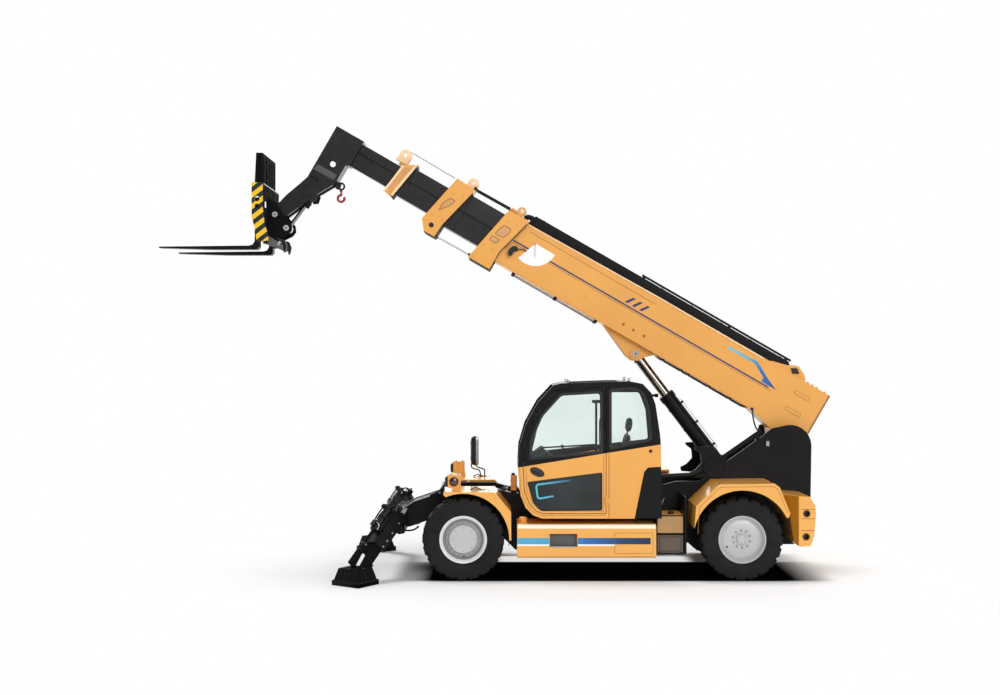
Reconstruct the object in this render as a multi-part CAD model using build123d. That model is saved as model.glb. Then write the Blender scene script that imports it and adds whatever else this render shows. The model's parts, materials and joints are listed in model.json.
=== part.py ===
from build123d import *
from math import cos, pi, radians, sin
import os

# Telehandler, millimetres. Modelling frame: x ahead of the front axle, y to the machine's left,
# z up from the floor. The finished nodes are moved so that the origin is the bottom centre of the box.

# --- driving dimensions -----------------------------------------------------------------------
TYRE_RADIUS = 537.5
TYRE_WIDTH = 400
RIM_RADIUS = 310
WHEELBASE = 3635
WHEEL_Y = 1000
KINGPIN_Y = 920
BODY_HALF_WIDTH = 1200
FRAME_HALF_WIDTH = 450
RAIL_WIDTH = 130
PLATE = 30

BOOM_ANGLE = 30
BOOM_PIVOT = (-4450, 1675)
BOOM_HALF_WIDTH = 210
FORK_TIP_X = 4110

CAB_OUTER_Y = 1100
CAB_INNER_Y = 300
CAB_WALL = 50
DOOR_GAP = 8
GLASS = 8

LEG_FOOT = (1360, 1450, 155)
LEG_HEAD = (900, 1000, 815)

# rear top corner of the boom, in boom coordinates (along, above the pivot)
BOOM_REAR = (-147, 890)
BOOM_REAR_X = BOOM_PIVOT[0] + BOOM_REAR[0] * cos(radians(BOOM_ANGLE)) - BOOM_REAR[1] * sin(radians(BOOM_ANGLE))
TO_CENTRE = Pos(-(FORK_TIP_X + BOOM_REAR_X) / 2, 0, 0)
ON_BOOM = Location((BOOM_PIVOT[0], 0, BOOM_PIVOT[1]), (0, -BOOM_ANGLE, 0))

os.makedirs("parts", exist_ok=True)
NODES = {}


# --- shape helpers ----------------------------------------------------------------------------
def slab(points, y0, y1):
    """A side outline of (x, z) points, as thick as from y0 to y1."""
    face = Plane.XZ.offset(-y1) * make_face(Polyline(*points, close=True))
    return extrude(face, y1 - y0)


def pair(points, y0, y1):
    """The same slab on the left and on the right side."""
    return [slab(points, y0, y1), slab(points, -y1, -y0)]


def block(x0, x1, y0, y1, z0, z1):
    return Pos((x0 + x1) / 2, (y0 + y1) / 2, (z0 + z1) / 2) * Box(abs(x1 - x0), abs(y1 - y0), abs(z1 - z0))


def rod_y(x, z, radius, y0, y1):
    """A round bar across the machine."""
    return Pos(x, (y0 + y1) / 2, z) * Rot(90, 0, 0) * Cylinder(radius, abs(y1 - y0))


def rod_z(x, y, radius, z0, z1):
    return Pos(x, y, (z0 + z1) / 2) * Cylinder(radius, abs(z1 - z0))


def bar(start, end, radius):
    """A round bar from start to end."""
    a, b = Vector(*start), Vector(*end)
    plane = Plane(origin=a, z_dir=b - a)
    return plane * Pos(0, 0, (b - a).length / 2) * Cylinder(radius, (b - a).length)


def fuse(*solids):
    result = solids[0]
    for solid in solids[1:]:
        result = result + solid
    return result


def mirrored(shape):
    return mirror(shape, Plane.XZ)


def arc(centre, radius, first, last, count):
    """Points on an arc, in degrees from straight ahead, first and last included."""
    angles = [radians(first + (last - first) * i / (count - 1)) for i in range(count)]
    return [(centre[0] + radius * cos(a), centre[1] + radius * sin(a)) for a in angles]


def node(name, *shapes):
    NODES[name] = Compound(children=[s for shape in shapes for s in shape.solids()])


def on_boom(*shapes):
    return [ON_BOOM * shape for shape in shapes]


# --- chassis ----------------------------------------------------------------------------------
TOWER_ARC = arc((-4425, 1705), 283, 178, 82, 8)
TOWER = [(-4697, 1005), (-4705, 1445), *TOWER_ARC, (-4171, 1940), (-4061, 1852), (-3535, 1479), (-3490, 1400),
         (-3260, 1270), (-3170, 1225), (-2870, 1225), (-2640, 1165), (-2640, 1000), (-4470, 1000), (-4480, 1005)]
# the right tower plate, which carries no strut, is a little lower along its slope
TOWER_RIGHT = [{(-4061, 1852): (-4130, 1790), (-3535, 1479): (-3600, 1415)}.get(p, p) for p in TOWER]
RAIL = [(-4470, 370), (-4470, 1000), (-2720, 1000), (-2630, 780), (-1030, 780), (-900, 826), (-798, 935),
        (-733, 1060), (-590, 1075), (-400, 1130), (330, 1130), (330, 700), (200, 680), (-300, 680), (-533, 450),
        (-690, 295), (-2900, 295), (-3100, 450), (-3300, 680), (-3950, 680), (-4150, 370)]
HORN = [(-3545, 1465), (-3425, 1660), (-3328, 1700), (-3116, 1690), (-3130, 1650), (-3202, 1596), (-3215, 1471),
        (-3135, 1384), (-3048, 1339), (-3060, 1280), (-3400, 1260)]
FRAME_TOP_BOX = (-705, -630, 335, 440, 1060, 1300)
HOOD_PIN = (-440, 1312)
HOOD_PIN_X = (-2400, -1100)
PIN_RADIUS = 14


def main_frame():
    outer = FRAME_HALF_WIDTH
    inner = outer - RAIL_WIDTH
    base_x, base_z = LIFT_BASE
    plates = [slab(outline_2d, outer - PLATE, outer) for outline_2d in (TOWER, HORN)]
    disc = rod_y(*TOWER_DISC, 140, outer - PLATE, outer + 12)
    strut = bar((-3500, outer - 60, 1530), (-4040, outer - 60, 1905), 32)
    feet = ((-3540, 1560), (-3980, 1865))
    strut_feet = [block(x - 25, x + 25, outer - 90, outer - PLATE + 5, z - 110, z) for x, z in feet]
    arm = [bar((-3230, 435, 1370), (-3080, 435, 1310), 34), bar((-3080, 435, 1310), (-2630, 435, 1285), 34),
           block(-2690, -2640, outer - PLATE, outer, 1150, 1270)]
    bulkhead = block(-2935, -2910, outer - 10, 1000, 318, 1075)
    side = fuse(slab(RAIL, inner, outer), disc, bulkhead)
    left = [*plates, strut, *strut_feet]
    right = [slab(outline_2d, -outer, PLATE - outer) for outline_2d in (TOWER_RIGHT, HORN)]
    # cross members: x0, x1, z0, z1
    members = [(-4470, -4090, 500, 1000), (-3560, -3440, 790, 1060), (-2300, -2180, 330, 780),
               (-900, -780, 330, 780), (200, 330, 820, 1130), (-590, -540, 560, 1070)]
    crosses = [block(x0, x1, -inner, inner, z0, z1) for x0, x1, z0, z1 in members]
    ear = [(base_x - 160, 960), (base_x - 160, 1300), (base_x - 60, base_z + 110), (base_x + 70, base_z + 110),
           (base_x + 140, 1300), (base_x + 140, 960)]
    ears = [*pair(ear, 125, 155), block(base_x - 160, base_x + 140, -inner, inner, 960, 1000)]
    reservoir = block(*FRAME_TOP_BOX)
    y, z = HOOD_PIN
    posts = []
    for x in HOOD_PIN_X:
        posts.append(block(x - 20, x + 20, y - 10, y + 15, 770, z))
        posts.append(bar((x - 20, y, z), (x + 20, y, z), PIN_RADIUS))
    return fuse(side, mirrored(side), *left, *right, *arm, *crosses, *ears, reservoir, *posts)


NOSE = [(330, 1040), (354, 1034), (698, 918), (849, 817), (849, 572), (747, 582), (531, 660), (330, 740)]
NOSE_HALF = 235
BEAM = [(780, 845), (849, 830), (975, 800), (975, 625), (849, 575), (780, 590)]

LEG_AXIS = (Vector(*LEG_HEAD) - Vector(*LEG_FOOT)).normalized()
LEG_SIDE = Vector(-LEG_AXIS.Y, LEG_AXIS.X, 0).normalized()
LEG_PLANE = Plane(origin=LEG_FOOT, x_dir=LEG_SIDE, z_dir=LEG_AXIS)
HOUSING = (200, 200)
HOUSING_WALL = 18
INNER_LEG = (152, 152)
HOUSING_SPAN = (420, 980)
LEG_TOP = 700
JACK_OFFSET = 165
JACK_RADIUS = 44
JACK_SPAN = (570, 930)


def leg_box(size, s0, s1):
    return LEG_PLANE * Pos(0, 0, (s0 + s1) / 2) * Box(size[0], size[1], s1 - s0)


def leg_rod(offset, radius, s0, s1):
    return LEG_PLANE * Pos(0, offset, (s0 + s1) / 2) * Cylinder(radius, s1 - s0)


def outrigger_beam():
    nose = slab(NOSE, -NOSE_HALF, NOSE_HALF)
    beam = slab(BEAM, -960, 960)
    tube = leg_box(HOUSING, *HOUSING_SPAN)
    bore = leg_box([side - 2 * HOUSING_WALL for side in HOUSING], HOUSING_SPAN[0] - 20, HOUSING_SPAN[1] - HOUSING_WALL)
    jack = leg_rod(JACK_OFFSET, JACK_RADIUS, *JACK_SPAN)
    jack_bore = leg_rod(JACK_OFFSET, JACK_RADIUS - 12, JACK_SPAN[0] - 20, JACK_SPAN[1] - 15)
    lugs = [LEG_PLANE * Pos(0, 115, s) * Box(60, 70, 60) for s in (620, 890)]
    # rings on the housing's head: along x, y, s
    rings = [LEG_PLANE * Pos(x, y, s) * Rot(0, 90, 0) * (Cylinder(34, 30) - Cylinder(15, 30))
             for x, y, s in ((-70, 60, 1005), (70, 60, 1005), (0, -70, 1005), (0, JACK_OFFSET + 70, 900))]
    body = fuse(beam, nose, tube, mirrored(tube), jack, mirrored(jack))
    for lug in (*lugs, *rings):
        body = body + lug + mirrored(lug)
    for cut in (bore, jack_bore):
        body = body - cut - mirrored(cut)
    return body


PAD_CENTRE = (1375, 1432)
PAD_TURN = -35
PAD = (450, 400)
# a gap seen through the leg from the side, beside the jack's lug: x, z
LEG_SLOT = [(1254, 372), (1292, 392), (1382, 222), (1332, 222)]


def outrigger_leg():
    leg = leg_box(INNER_LEG, 0, LEG_TOP)
    rear_web = LEG_PLANE * Pos(0, -95, 110) * Box(90, 60, 220)
    front_web = LEG_PLANE * (Pos(0, 125, 120) * Box(60, 120, 200) + Pos(0, 148, 190) * Box(60, 74, 340))
    rod = leg_rod(JACK_OFFSET, 22, 300, 700)
    pad = []
    # layers of the pad: size across its two sides, z
    for (size0, z0), (size1, z1) in (((1.0, 0), (1.0, 50)), ((0.93, 50), (0.72, 215))):
        sections = [Location((*PAD_CENTRE, z), (0, 0, PAD_TURN)) * Rectangle(PAD[0] * size, PAD[1] * size)
                    for size, z in ((size0, z0), (size1, z1))]
        pad.append(loft(sections))
    slot = slab(LEG_SLOT, 1000, 2000)
    floor = block(0, 3000, 0, 3000, -500, 0)
    return fuse(leg, rear_web, front_web, rod, *pad) - slot - floor


LIFT_BASE = (-3500, 1450)
TOWER_DISC = (-3380, 1410)

COUNTERWEIGHT = [(-4196, 1117), (-4269, 1109), (-4522, 1092), (-4595, 973), (-4603, 856), (-4579, 582), (-4535, 452),
                 (-4391, 440), (-4326, 481), (-4269, 872)]
WEIGHT_HALF = 1150
# lifting holes in the counterweight's ends: x, z
WEIGHT_HOLES = [(-4481, 872), (-4473, 570)]


def counterweight():
    body = slab(COUNTERWEIGHT, -WEIGHT_HALF, WEIGHT_HALF)
    for side in (1, -1):
        bevel = Polyline((-4100, side * 1015), (-4400, side * 1160), (-4100, side * 1160), close=True)
        body = body - extrude(make_face(bevel), 1500)
        for x, z in WEIGHT_HOLES:
            body = body - rod_y(x, z, 39, side * (WEIGHT_HALF - 60), side * (WEIGHT_HALF + 10))
    notch = block(-4800, -4100, -FRAME_HALF_WIDTH, FRAME_HALF_WIDTH, 1000, 1300)
    pocket = block(-4470, -4100, -FRAME_HALF_WIDTH, FRAME_HALF_WIDTH, 300, 1300)
    return body - notch - pocket


ARCH_REAR = 642
ARCH_FRONT = 600
REAR_FENDER = [(-3000, 550), (-3030, 976), (-3308, 1236), (-3345, 1258), (-4056, 1268), (-4121, 1219), (-4259, 878),
               (-4235, 823), (-3600, 823)]
FRONT_FENDER = [(257, 1122), (257, 1158), (-405, 1158), (-437, 1129), (-624, 898), (-627, 529), (-300, 529)]


def fenders():
    rear = slab(REAR_FENDER, FRAME_HALF_WIDTH, BODY_HALF_WIDTH)
    rear = rear - rod_y(-WHEELBASE, TYRE_RADIUS, ARCH_REAR, 400, 1300)
    front = slab(FRONT_FENDER, FRAME_HALF_WIDTH, BODY_HALF_WIDTH)
    front = front - rod_y(0, TYRE_RADIUS, ARCH_FRONT, 400, 1300)
    return [rear, mirrored(rear), front, mirrored(front)]


STEP = (-2518, -704, 294, 734)


def step_box():
    x0, x1, z0, z1 = STEP
    box = block(x0, x1, FRAME_HALF_WIDTH, BODY_HALF_WIDTH, z0, z1)
    recess = block(-1482, -1118, 1060, 1300, 435, 609)
    mount = rod_z(-785, 900, 55, z1, 802)
    return box - recess + mount


def right_box():
    x0, x1, z0, z1 = STEP
    return block(x0, x1, -BODY_HALF_WIDTH, -FRAME_HALF_WIDTH, z0, z1)


def tank_boxes():
    upper = block(-2900, -2605, FRAME_HALF_WIDTH, 950, 589, 829)
    lower = block(-2900, -2605, FRAME_HALF_WIDTH, 950, 318, 566)
    return [upper, mirrored(upper), lower, mirrored(lower)]


HOOD = (-2895, -760, -1150, -460, 840, 1300)
HOOD_WALL = 25


def hood_section(wall):
    """The hood's outline seen from behind, as (y, z), moved inwards by wall."""
    x0, x1, y0, y1, z0, z1 = HOOD
    side = y0 + wall
    return [(y1 + wall, z0 - wall), (y1 + wall, z1 - wall), (y0 + 200, z1 - wall), (side, z1 - 240), (side, z0 - wall)]


def engine_hood():
    x0, x1, y0, y1, z0, z1 = HOOD
    outer = extrude(Plane.YZ.offset(x0) * make_face(Polyline(*hood_section(0), close=True)), x1 - x0)
    hollow = Plane.YZ.offset(x0 + HOOD_WALL) * make_face(Polyline(*hood_section(HOOD_WALL), close=True))
    shell = outer - extrude(hollow, x1 - x0 - 2 * HOOD_WALL)
    # louvres in the outer side
    for i in range(9):
        x = -2650 + 90 * i
        shell = shell - block(x, x + 45, y0 - 10, y0 + HOOD_WALL + 10, 870, 1030)
    pin_y, pin_z = HOOD_PIN
    hinges = []
    for x in HOOD_PIN_X:
        hinges.append(bar((x + 26, pin_y, pin_z), (x + 66, pin_y, pin_z), PIN_RADIUS))
        hinges.append(block(x + 26, x + 66, y1 - 60, pin_y, z1 - 8, z1 + 6))
    return fuse(shell, *hinges)


def engine_block():
    mount = block(-2250, -1300, -900, -600, 734, 760)
    return mount + block(-2300, -1250, -960, -560, 760, 1220)


# --- axles and wheels ---------------------------------------------------------------------------
YOKE_Z = 160
KNUCKLE_HALF = 154


def axle(x):
    z = TYRE_RADIUS
    parts = [Pos(x, 0, z) * Sphere(190), rod_y(x, z, 85, -800, 800), rod_y(x, z, 125, -520, 520)]
    for side in (1, -1):
        y0, y1 = sorted((side * 770, side * (KINGPIN_Y + 45)))
        for up in (1, -1):
            z0, z1 = sorted((z + up * YOKE_Z, z + up * (YOKE_Z + 30)))
            parts.append(block(x - 55, x + 55, y0, y1, z0, z1))
        y0, y1 = sorted((side * 770, side * 800))
        parts.append(block(x - 55, x + 55, y0, y1, z - YOKE_Z - 30, z + YOKE_Z + 30))
    hangers = [block(x - 90, x + 90, s * 385 - 50, s * 385 + 50, z, 680) for s in (1, -1)]
    return fuse(*parts, *hangers)


def knuckle(x, side):
    z = TYRE_RADIUS
    pin = rod_z(x, side * KINGPIN_Y, 70, z - KNUCKLE_HALF, z + KNUCKLE_HALF)
    y0, y1 = sorted((side * KINGPIN_Y, side * 1080))
    spindle = rod_y(x, z, 60, y0, y1)
    return pin + spindle


def wheel_profile(points):
    """A body turned about the wheel's axis from (radius, y) points."""
    face = make_face(Polyline(*points, close=True))
    return revolve(face, Axis.Y)


RIM_SECTION = [(RIM_RADIUS, -175), (RIM_RADIUS, 175), (285, 175), (262, 150), (255, 120), (235, 110), (185, 118),
               (185, 150), (175, 160), (0, 160), (0, 85), (60.5, 85), (60.5, 60), (120, 60), (120, 90), (250, 90),
               (262, 60), (262, -175)]
CARCASS_SIDES = 36
# carcass rings, from the inner side of the tyre to the outer: y, radius
CARCASS = [(-175, 325), (-200, 430), (-188, 500), (188, 500), (200, 430), (175, 325)]
LUGS = 18
LUG_WIDTH = 78
# lug outline: y, radius
LUG = [(8, 485), (8, TYRE_RADIUS), (150, TYRE_RADIUS), (191, 500), (197, 455), (180, 455)]


def tyre():
    rings = []
    for y, radius in CARCASS:
        plane = Plane(origin=(0, y, 0), x_dir=(1, 0, 0), z_dir=(0, 1, 0)) * Rot(0, 0, 180 / CARCASS_SIDES)
        rings.append(plane * RegularPolygon(radius / cos(pi / CARCASS_SIDES), CARCASS_SIDES, major_radius=True))
    body = fuse(*[loft([rings[i], rings[i + 1]], ruled=True) for i in range(len(rings) - 1)])
    face = Plane.YZ.offset(-LUG_WIDTH / 2) * make_face(Polyline(*LUG, close=True))
    lug = extrude(face, LUG_WIDTH)
    pitch = 360 / LUGS
    lugs = [Rot(0, pitch * i, 0) * lug for i in range(LUGS)]
    lugs += [Rot(0, pitch * (i + 0.5), 0) * mirrored(lug) for i in range(LUGS)]
    return body.fuse(*lugs) - rod_y(0, 0, RIM_RADIUS, -300, 300)


def at_wheel(shape, x, side):
    placed = shape if side > 0 else mirrored(shape)
    return Pos(x, side * WHEEL_Y, TYRE_RADIUS) * placed


# --- cab ---------------------------------------------------------------------------------------
CAB = [(-2598, 800), (-1030, 802), (-914, 844), (-814, 945), (-747, 1110), (-714, 1475), (-730, 1745), (-814, 2030),
       (-980, 2330), (-1180, 2546), (-1280, 2570), (-1915, 2595), (-2180, 2595), (-2350, 2563), (-2460, 2445),
       (-2515, 2296), (-2573, 1910), (-2585, 1778)]
BELT = [(-600, 1450), (-714, 1469), (-1890, 1661), (-2240, 1716), (-2700, 1790), (-2700, 1486), (-2415, 1470),
        (-2365, 1410), (-2240, 800), (-2240, 700), (-600, 700)]
REAR_CORNER = [(-2700, 1486), (-2415, 1470), (-2365, 1410), (-2240, 800), (-2240, 700), (-2700, 700)]
DOOR = [(-1864, 870), (-1864, 2500), (-1290, 2490), (-1205, 2462), (-1045, 2300), (-885, 2010), (-800, 1740),
        (-785, 1470), (-805, 1150), (-868, 1000), (-950, 905), (-1040, 870)]
DOOR_WINDOW = [(-897, 1840), (-1030, 2145), (-1280, 2420), (-1797, 2449), (-1806, 1678), (-880, 1595)]
DOOR_LOWER_WINDOW = [(-838, 1278), (-1814, 1402), (-1814, 911), (-1014, 903), (-914, 1011)]
SIDE_WINDOW = [(-1931, 2479), (-2248, 2496), (-2348, 2429), (-2415, 2245), (-2449, 1844), (-1931, 1728)]
RIGHT_WINDOW = [(-900, 1600), (-1030, 2145), (-1280, 2440), (-2390, 2440), (-2480, 2200), (-2515, 1780)]
HINGE = (-1868, 1118)
# hinge knuckles: bottom and top of the cab's, with the door's just above each
HINGE_Z = [(1010, 1060), (1960, 2010)]
HINGE_GAP = 6


def hinge_knuckles(on_door):
    x, y = HINGE
    parts = []
    for z0, z1 in HINGE_Z:
        low, high = (z1 + HINGE_GAP, 2 * z1 - z0 + HINGE_GAP) if on_door else (z0, z1)
        away = 40 if on_door else -40
        parts.append(rod_z(x, y, 15, low, high))
        parts.append(block(x, x + away, CAB_OUTER_Y - 10, y - 5, low, high))
    return parts


def outline(points, grow, y0, y1):
    """A slab whose outline is moved outwards by grow, or inwards when grow is negative."""
    face = make_face(Polyline(*points, close=True))
    grown = offset(face, grow, kind=Kind.INTERSECTION)
    return extrude(Plane.XZ.offset(-y1) * grown, y1 - y0)


def cab_shell():
    y0, y1 = CAB_INNER_Y, CAB_OUTER_Y
    shell = slab(CAB, y0, y1) - outline(CAB, -CAB_WALL, y0 + CAB_WALL, y1 - CAB_WALL)
    shell = shell - outline(DOOR, DOOR_GAP, y1 - 2 * CAB_WALL, y1 + 10)
    shell = shell - slab(SIDE_WINDOW, y1 - 2 * CAB_WALL, y1 + 10)
    shell = shell - slab(RIGHT_WINDOW, y0 - 10, y0 + 2 * CAB_WALL)
    # windscreen, roof light and rear window, each open across the cab between its pillars
    for window in WINDOWS_ACROSS:
        shell = shell - slab(window, y0 + 70, y1 - 70)
    return fuse(shell, *hinge_knuckles(False))


WINDSCREEN = [(-600, 1540), (-850, 1540), (-900, 2030), (-1220, 2440), (-1130, 2640), (-600, 2640)]
ROOF_LIGHT = [(-1400, 2450), (-1400, 2700), (-2050, 2700), (-2050, 2450)]
REAR_WINDOW = [(-2400, 1850), (-2700, 1850), (-2700, 2420), (-2400, 2420)]
WINDOWS_ACROSS = [WINDSCREEN, ROOF_LIGHT, REAR_WINDOW]


def pane(points, y_mid):
    return outline(points, -0.5, y_mid - GLASS / 2, y_mid + GLASS / 2)


def cab_glass():
    y0, y1 = CAB_INNER_Y, CAB_OUTER_Y
    side_panes = [pane(SIDE_WINDOW, y1 - 25), pane(RIGHT_WINDOW, y0 + 25)]
    skin = outline(CAB, -20, y0 + 70.5, y1 - 70.5) - outline(CAB, -20 - GLASS, y0 + 70, y1 - 70)
    across = [skin & outline(window, -0.5, y0 + 70.5, y1 - 70.5) for window in WINDOWS_ACROSS]
    return side_panes + across


def door_parts():
    y0, y1 = CAB_OUTER_Y - CAB_WALL, CAB_OUTER_Y
    leaf = slab(DOOR, y0, y1) - slab(DOOR_WINDOW, y0 - 5, y1 + 5) - slab(DOOR_LOWER_WINDOW, y0 - 5, y1 + 5)
    leaf = fuse(leaf, *hinge_knuckles(True))
    lower = leaf & slab(BELT, y0 - 5, y1 + 50)
    upper = leaf - slab(BELT, y0 - 5, y1 + 50)
    glass = [pane(DOOR_WINDOW, y1 - 25), pane(DOOR_LOWER_WINDOW, y1 - 25)]
    return lower, upper, glass


def cab_interior():
    floor_mat = block(-2450, -1110, 360, 1040, 853, 870)
    seat_base = block(-2210, -1800, 500, 900, 870, 1180)
    dash = slab([(-930, 1000), (-850, 1480), (-930, 1560), (-1060, 1500), (-1060, 1000)], 480, 940)
    column = bar((-1010, 700, 1300), (-1200, 700, 1560), 30)
    wheel = Location((-1205, 700, 1567), (0, -36, 0)) * Torus(170, 16)
    hub = bar((-1200, 700, 1560), (-1215, 700, 1580), 60)
    spoke = Location((-1205, 700, 1567), (0, -36, 0)) * Box(30, 340, 14)
    console = block(-2200, -1500, 380, 470, 870, 1330)
    return [fuse(floor_mat, seat_base, console), fuse(dash, column, hub, spoke, wheel)]


def seat():
    cushion = block(-2190, -1750, 480, 920, 1190, 1310)
    back = slab([(-2160, 1320), (-2050, 1320), (-2125, 1840), (-2235, 1840)], 490, 910)
    head = slab([(-2225, 1862), (-2130, 1862), (-2150, 2095), (-2240, 2095)], 600, 800)
    return [cushion, back, head]


# --- lamps and mirror ------------------------------------------------------------------------------
FENDER_TOP = 1158
MIRROR_Y = -1000


def headlamp(side):
    """An orange lamp box with a round side lamp, standing on a front fender."""
    y = side * 1000
    foot = block(15, 150, y - 80, y + 80, FENDER_TOP, 1200)
    box = block(46, 205, y - 85, y + 85, 1195, 1370)
    lens = block(205, 225, y - 65, y + 65, 1215, 1350)
    side_lamp = rod_y(125, 1283, 42, y + side * 85, y + side * 105)
    return fuse(foot, box, lens, side_lamp)


def mirror_arm():
    """The right mirror on its two bent stalks, standing on the right front fender."""
    y = MIRROR_Y
    front = [(-200, 1150), (-180, 1230), (-80, 1262), (-60, 1340)]
    rear = [(-255, 1150), (-255, 1240), (-190, 1290), (-110, 1330)]
    tubes = []
    for path, dy in ((front, -25), (rear, 25)):
        for a, b in zip(path, path[1:]):
            tubes.append(bar((a[0], y + dy, a[1]), (b[0], y + dy, b[1]), 9))
            tubes.append(Pos(b[0], y + dy, b[1]) * Sphere(9))
    plate = slab([(-60, 1315), (-75, 1700), (-100, 1745), (-160, 1745), (-172, 1700), (-160, 1310)], y - 100, y + 100)
    feet = block(-280, -180, y - 60, y + 60, FENDER_TOP, 1170)
    floor = block(-400, 0, -1200, -800, 900, FENDER_TOP)
    return fuse(plate, *tubes, feet) - floor


# --- boom ----------------------------------------------------------------------------------------
# outlines are in boom coordinates: (along the boom from its pivot, above the pivot line)
BASE_OUTLINE = [(-147, 280), (-147, 890), (2600, 893), (4900, 862), (4900, 185), (730, 185), (340, 90), (180, -150),
                (-60, -190), (-190, -60)]
COLLAR_1 = [(4780, 50), (5100, 50), (5120, 70), (4955, 893), (4640, 900), (4640, 860), (4780, 338)]
COLLAR_2 = [(5660, 60), (5830, 60), (5940, 200), (5790, 920), (5500, 900), (5500, 855), (5650, 255)]
COLLAR_3 = [(6460, 245), (6600, 272), (6540, 710), (6350, 817)]
# section: bottom, top, half width, wall, rear end, front end
SECTIONS = {
    "stage_2": (257, 824, 160, 22, 250, 5500),
    "stage_3": (303, 752, 120, 20, 400, 6350),
    "stage_4": (336, 682, 82, 18, 550, 7300),
}
LIFT_LUG = [(3040, 185), (2560, -30), (2455, -50), (2360, 0), (2340, 60), (2210, 185)]
LIFT_PIN = (2455, 60)
HEAD = [(7170, 720), (7600, 720), (7600, -90), (7645, -225), (7730, -460), (7784, -690), (7794, -763), (7770, -815),
        (7710, -820), (7600, -745), (7383, -264), (7225, 13), (7222, 310), (7170, 330)]
HEAD_SLOT = [(7280, 345), (7530, 345), (7530, -100), (7900, -950), (7400, -950), (7300, -300), (7200, -100), (7280, 100)]
HEAD_HALF = 150
CARRIAGE_PIN = (7732, -763)
TILT_TOP = (7372, 231)
TILT_EYE = (7500, -852)


def tube(bottom, top, half_width, wall, rear, front):
    outer = block(rear, front, -half_width, half_width, bottom, top)
    return outer - block(rear - 10, front + 10, -half_width + wall, half_width - wall, bottom + wall, top - wall)


def boom_base():
    bottom, top, half, wall = 185, 862, BOOM_HALF_WIDTH, 20
    body = slab(BASE_OUTLINE, -half, half)
    body = body + slab(COLLAR_1, -half - 50, half + 50)
    bore = block(200, 5300, -half + wall, half - wall, bottom + wall, top - wall)
    pivot = rod_y(0, 0, 110, -FRAME_HALF_WIDTH + PLATE + 6, FRAME_HALF_WIDTH - PLATE - 6)
    lugs = pair(LIFT_LUG, 75, 115)
    pin_x, pin_z = LIFT_PIN
    lugs += [rod_y(pin_x, pin_z, 95, s * 70, s * 125) for s in (1, -1)]
    return fuse(body, pivot, *lugs, sheave(SHEAVE_1, 880)) - bore


# chain wheels on the boom: along, above, radius
SHEAVE_1 = (4800, 984, 63)
SHEAVE_2 = (5560, 946, 70)
SHEAVE_3 = (6555, 822, 60)


def sheave(wheel, foot):
    """A chain wheel between two cheeks that stand on the collar at height foot."""
    x, z, radius = wheel
    cheek = [(x - radius, foot), (x - radius / 2, z + radius / 2), (x + radius / 2, z + radius / 2), (x + radius, foot)]
    return fuse(rod_y(x, z, radius, -26, 26), *pair(cheek, 25, 37), rod_y(x, z, 22, -45, 45))


def collar(points, bore, reach, wheel, foot):
    bottom, top, half = bore
    ring = slab(points, -reach, reach) - block(5000, 7000, -half, half, bottom, top)
    return fuse(ring, sheave(wheel, foot))


def boom_head():
    body = slab(HEAD, -HEAD_HALF, HEAD_HALF)
    body = body - slab(HEAD_SLOT, -85, 85)
    bottom, top, half, wall, rear, front = SECTIONS["stage_4"]
    pin_x, pin_z = CARRIAGE_PIN
    bosses = [rod_y(pin_x, pin_z, 60, s * HEAD_HALF, s * (HEAD_HALF + 10)) for s in (1, -1)]
    top_x, top_z = TILT_TOP
    caps = [rod_y(top_x, top_z, 45, s * HEAD_HALF, s * (HEAD_HALF + 12)) for s in (1, -1)]
    return fuse(tube(bottom, top, half, wall, rear, front), body, *bosses, *caps)


HOOK_AT = (1695, 5285)


def hook():
    x, z = HOOK_AT
    ring = Pos(x, 0, z - 10) * Rot(90, 0, 0) * Torus(38, 10)
    shank = bar((x, 0, z - 52), (x, 0, z - 110), 12)
    bowl = Pos(x, 0, z - 155) * Rot(90, 0, 0) * Torus(42, 15)
    gap = block(x - 100, x - 8, -30, 30, z - 150, z - 112)
    return fuse(shank, bowl - gap, ring)


# --- carriage and forks ----------------------------------------------------------------------------
SIDE_PLATE = [(2856, 5262), (2707, 5250), (2707, 4922), (2682, 4695), (2646, 4593), (2631, 4481), (2789, 4456),
              (2811, 4634), (2856, 4799)]
EAR = [(2700, 5100), (2600, 5030), (2520, 4900), (2395, 4745), (2385, 4660), (2430, 4600), (2540, 4545), (2640, 4480),
       (2700, 4480)]
FORK = [(4110, 4380), (4110, 4398), (2900, 4412), (2850, 4425), (2820, 4470), (2820, 5060), (2760, 5060), (2760, 4390),
        (2790, 4358), (3400, 4358)]
FORK_Y = 543
FORK_WIDTH = 150
CARRIAGE_HALF = 620


def fork_carriage():
    main = block(2700, 2740, -CARRIAGE_HALF, CARRIAGE_HALF, 4480, 5250)
    windows = [block(2600, 2800, s * 360 - 160, s * 360 + 160, 4936, 5040) for s in (1, -1)]
    for window in windows:
        main = main - window
    upper = block(2740, 2756, -CARRIAGE_HALF, CARRIAGE_HALF, 5065, 5150)
    lower = block(2740, 2756, -CARRIAGE_HALF, CARRIAGE_HALF, 4480, 4560)
    ears = pair(EAR, 165, 205)
    boss_x, boss_z = boom_point(CARRIAGE_PIN)
    ears += [rod_y(boss_x, boss_z, 75, s * 205, s * 220) for s in (1, -1)]
    side_bars = pair([(2731, 5250), (2840, 5250), (2819, 5676), (2731, 5676)], 470, 513)
    top_bar = block(2731, 2785, -513, 513, 5610, 5676)
    bars = [block(2731, 2760, y - 75, y + 75, 5200, 5640) for y in (-330, -110, 110, 330)]
    return fuse(main, upper, lower, *ears, *side_bars, top_bar, *bars)


# holes through the side plates: x, z, radius
PLATE_HOLES = [(2785, 5040, 36), (2786, 4943, 30)]


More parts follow.
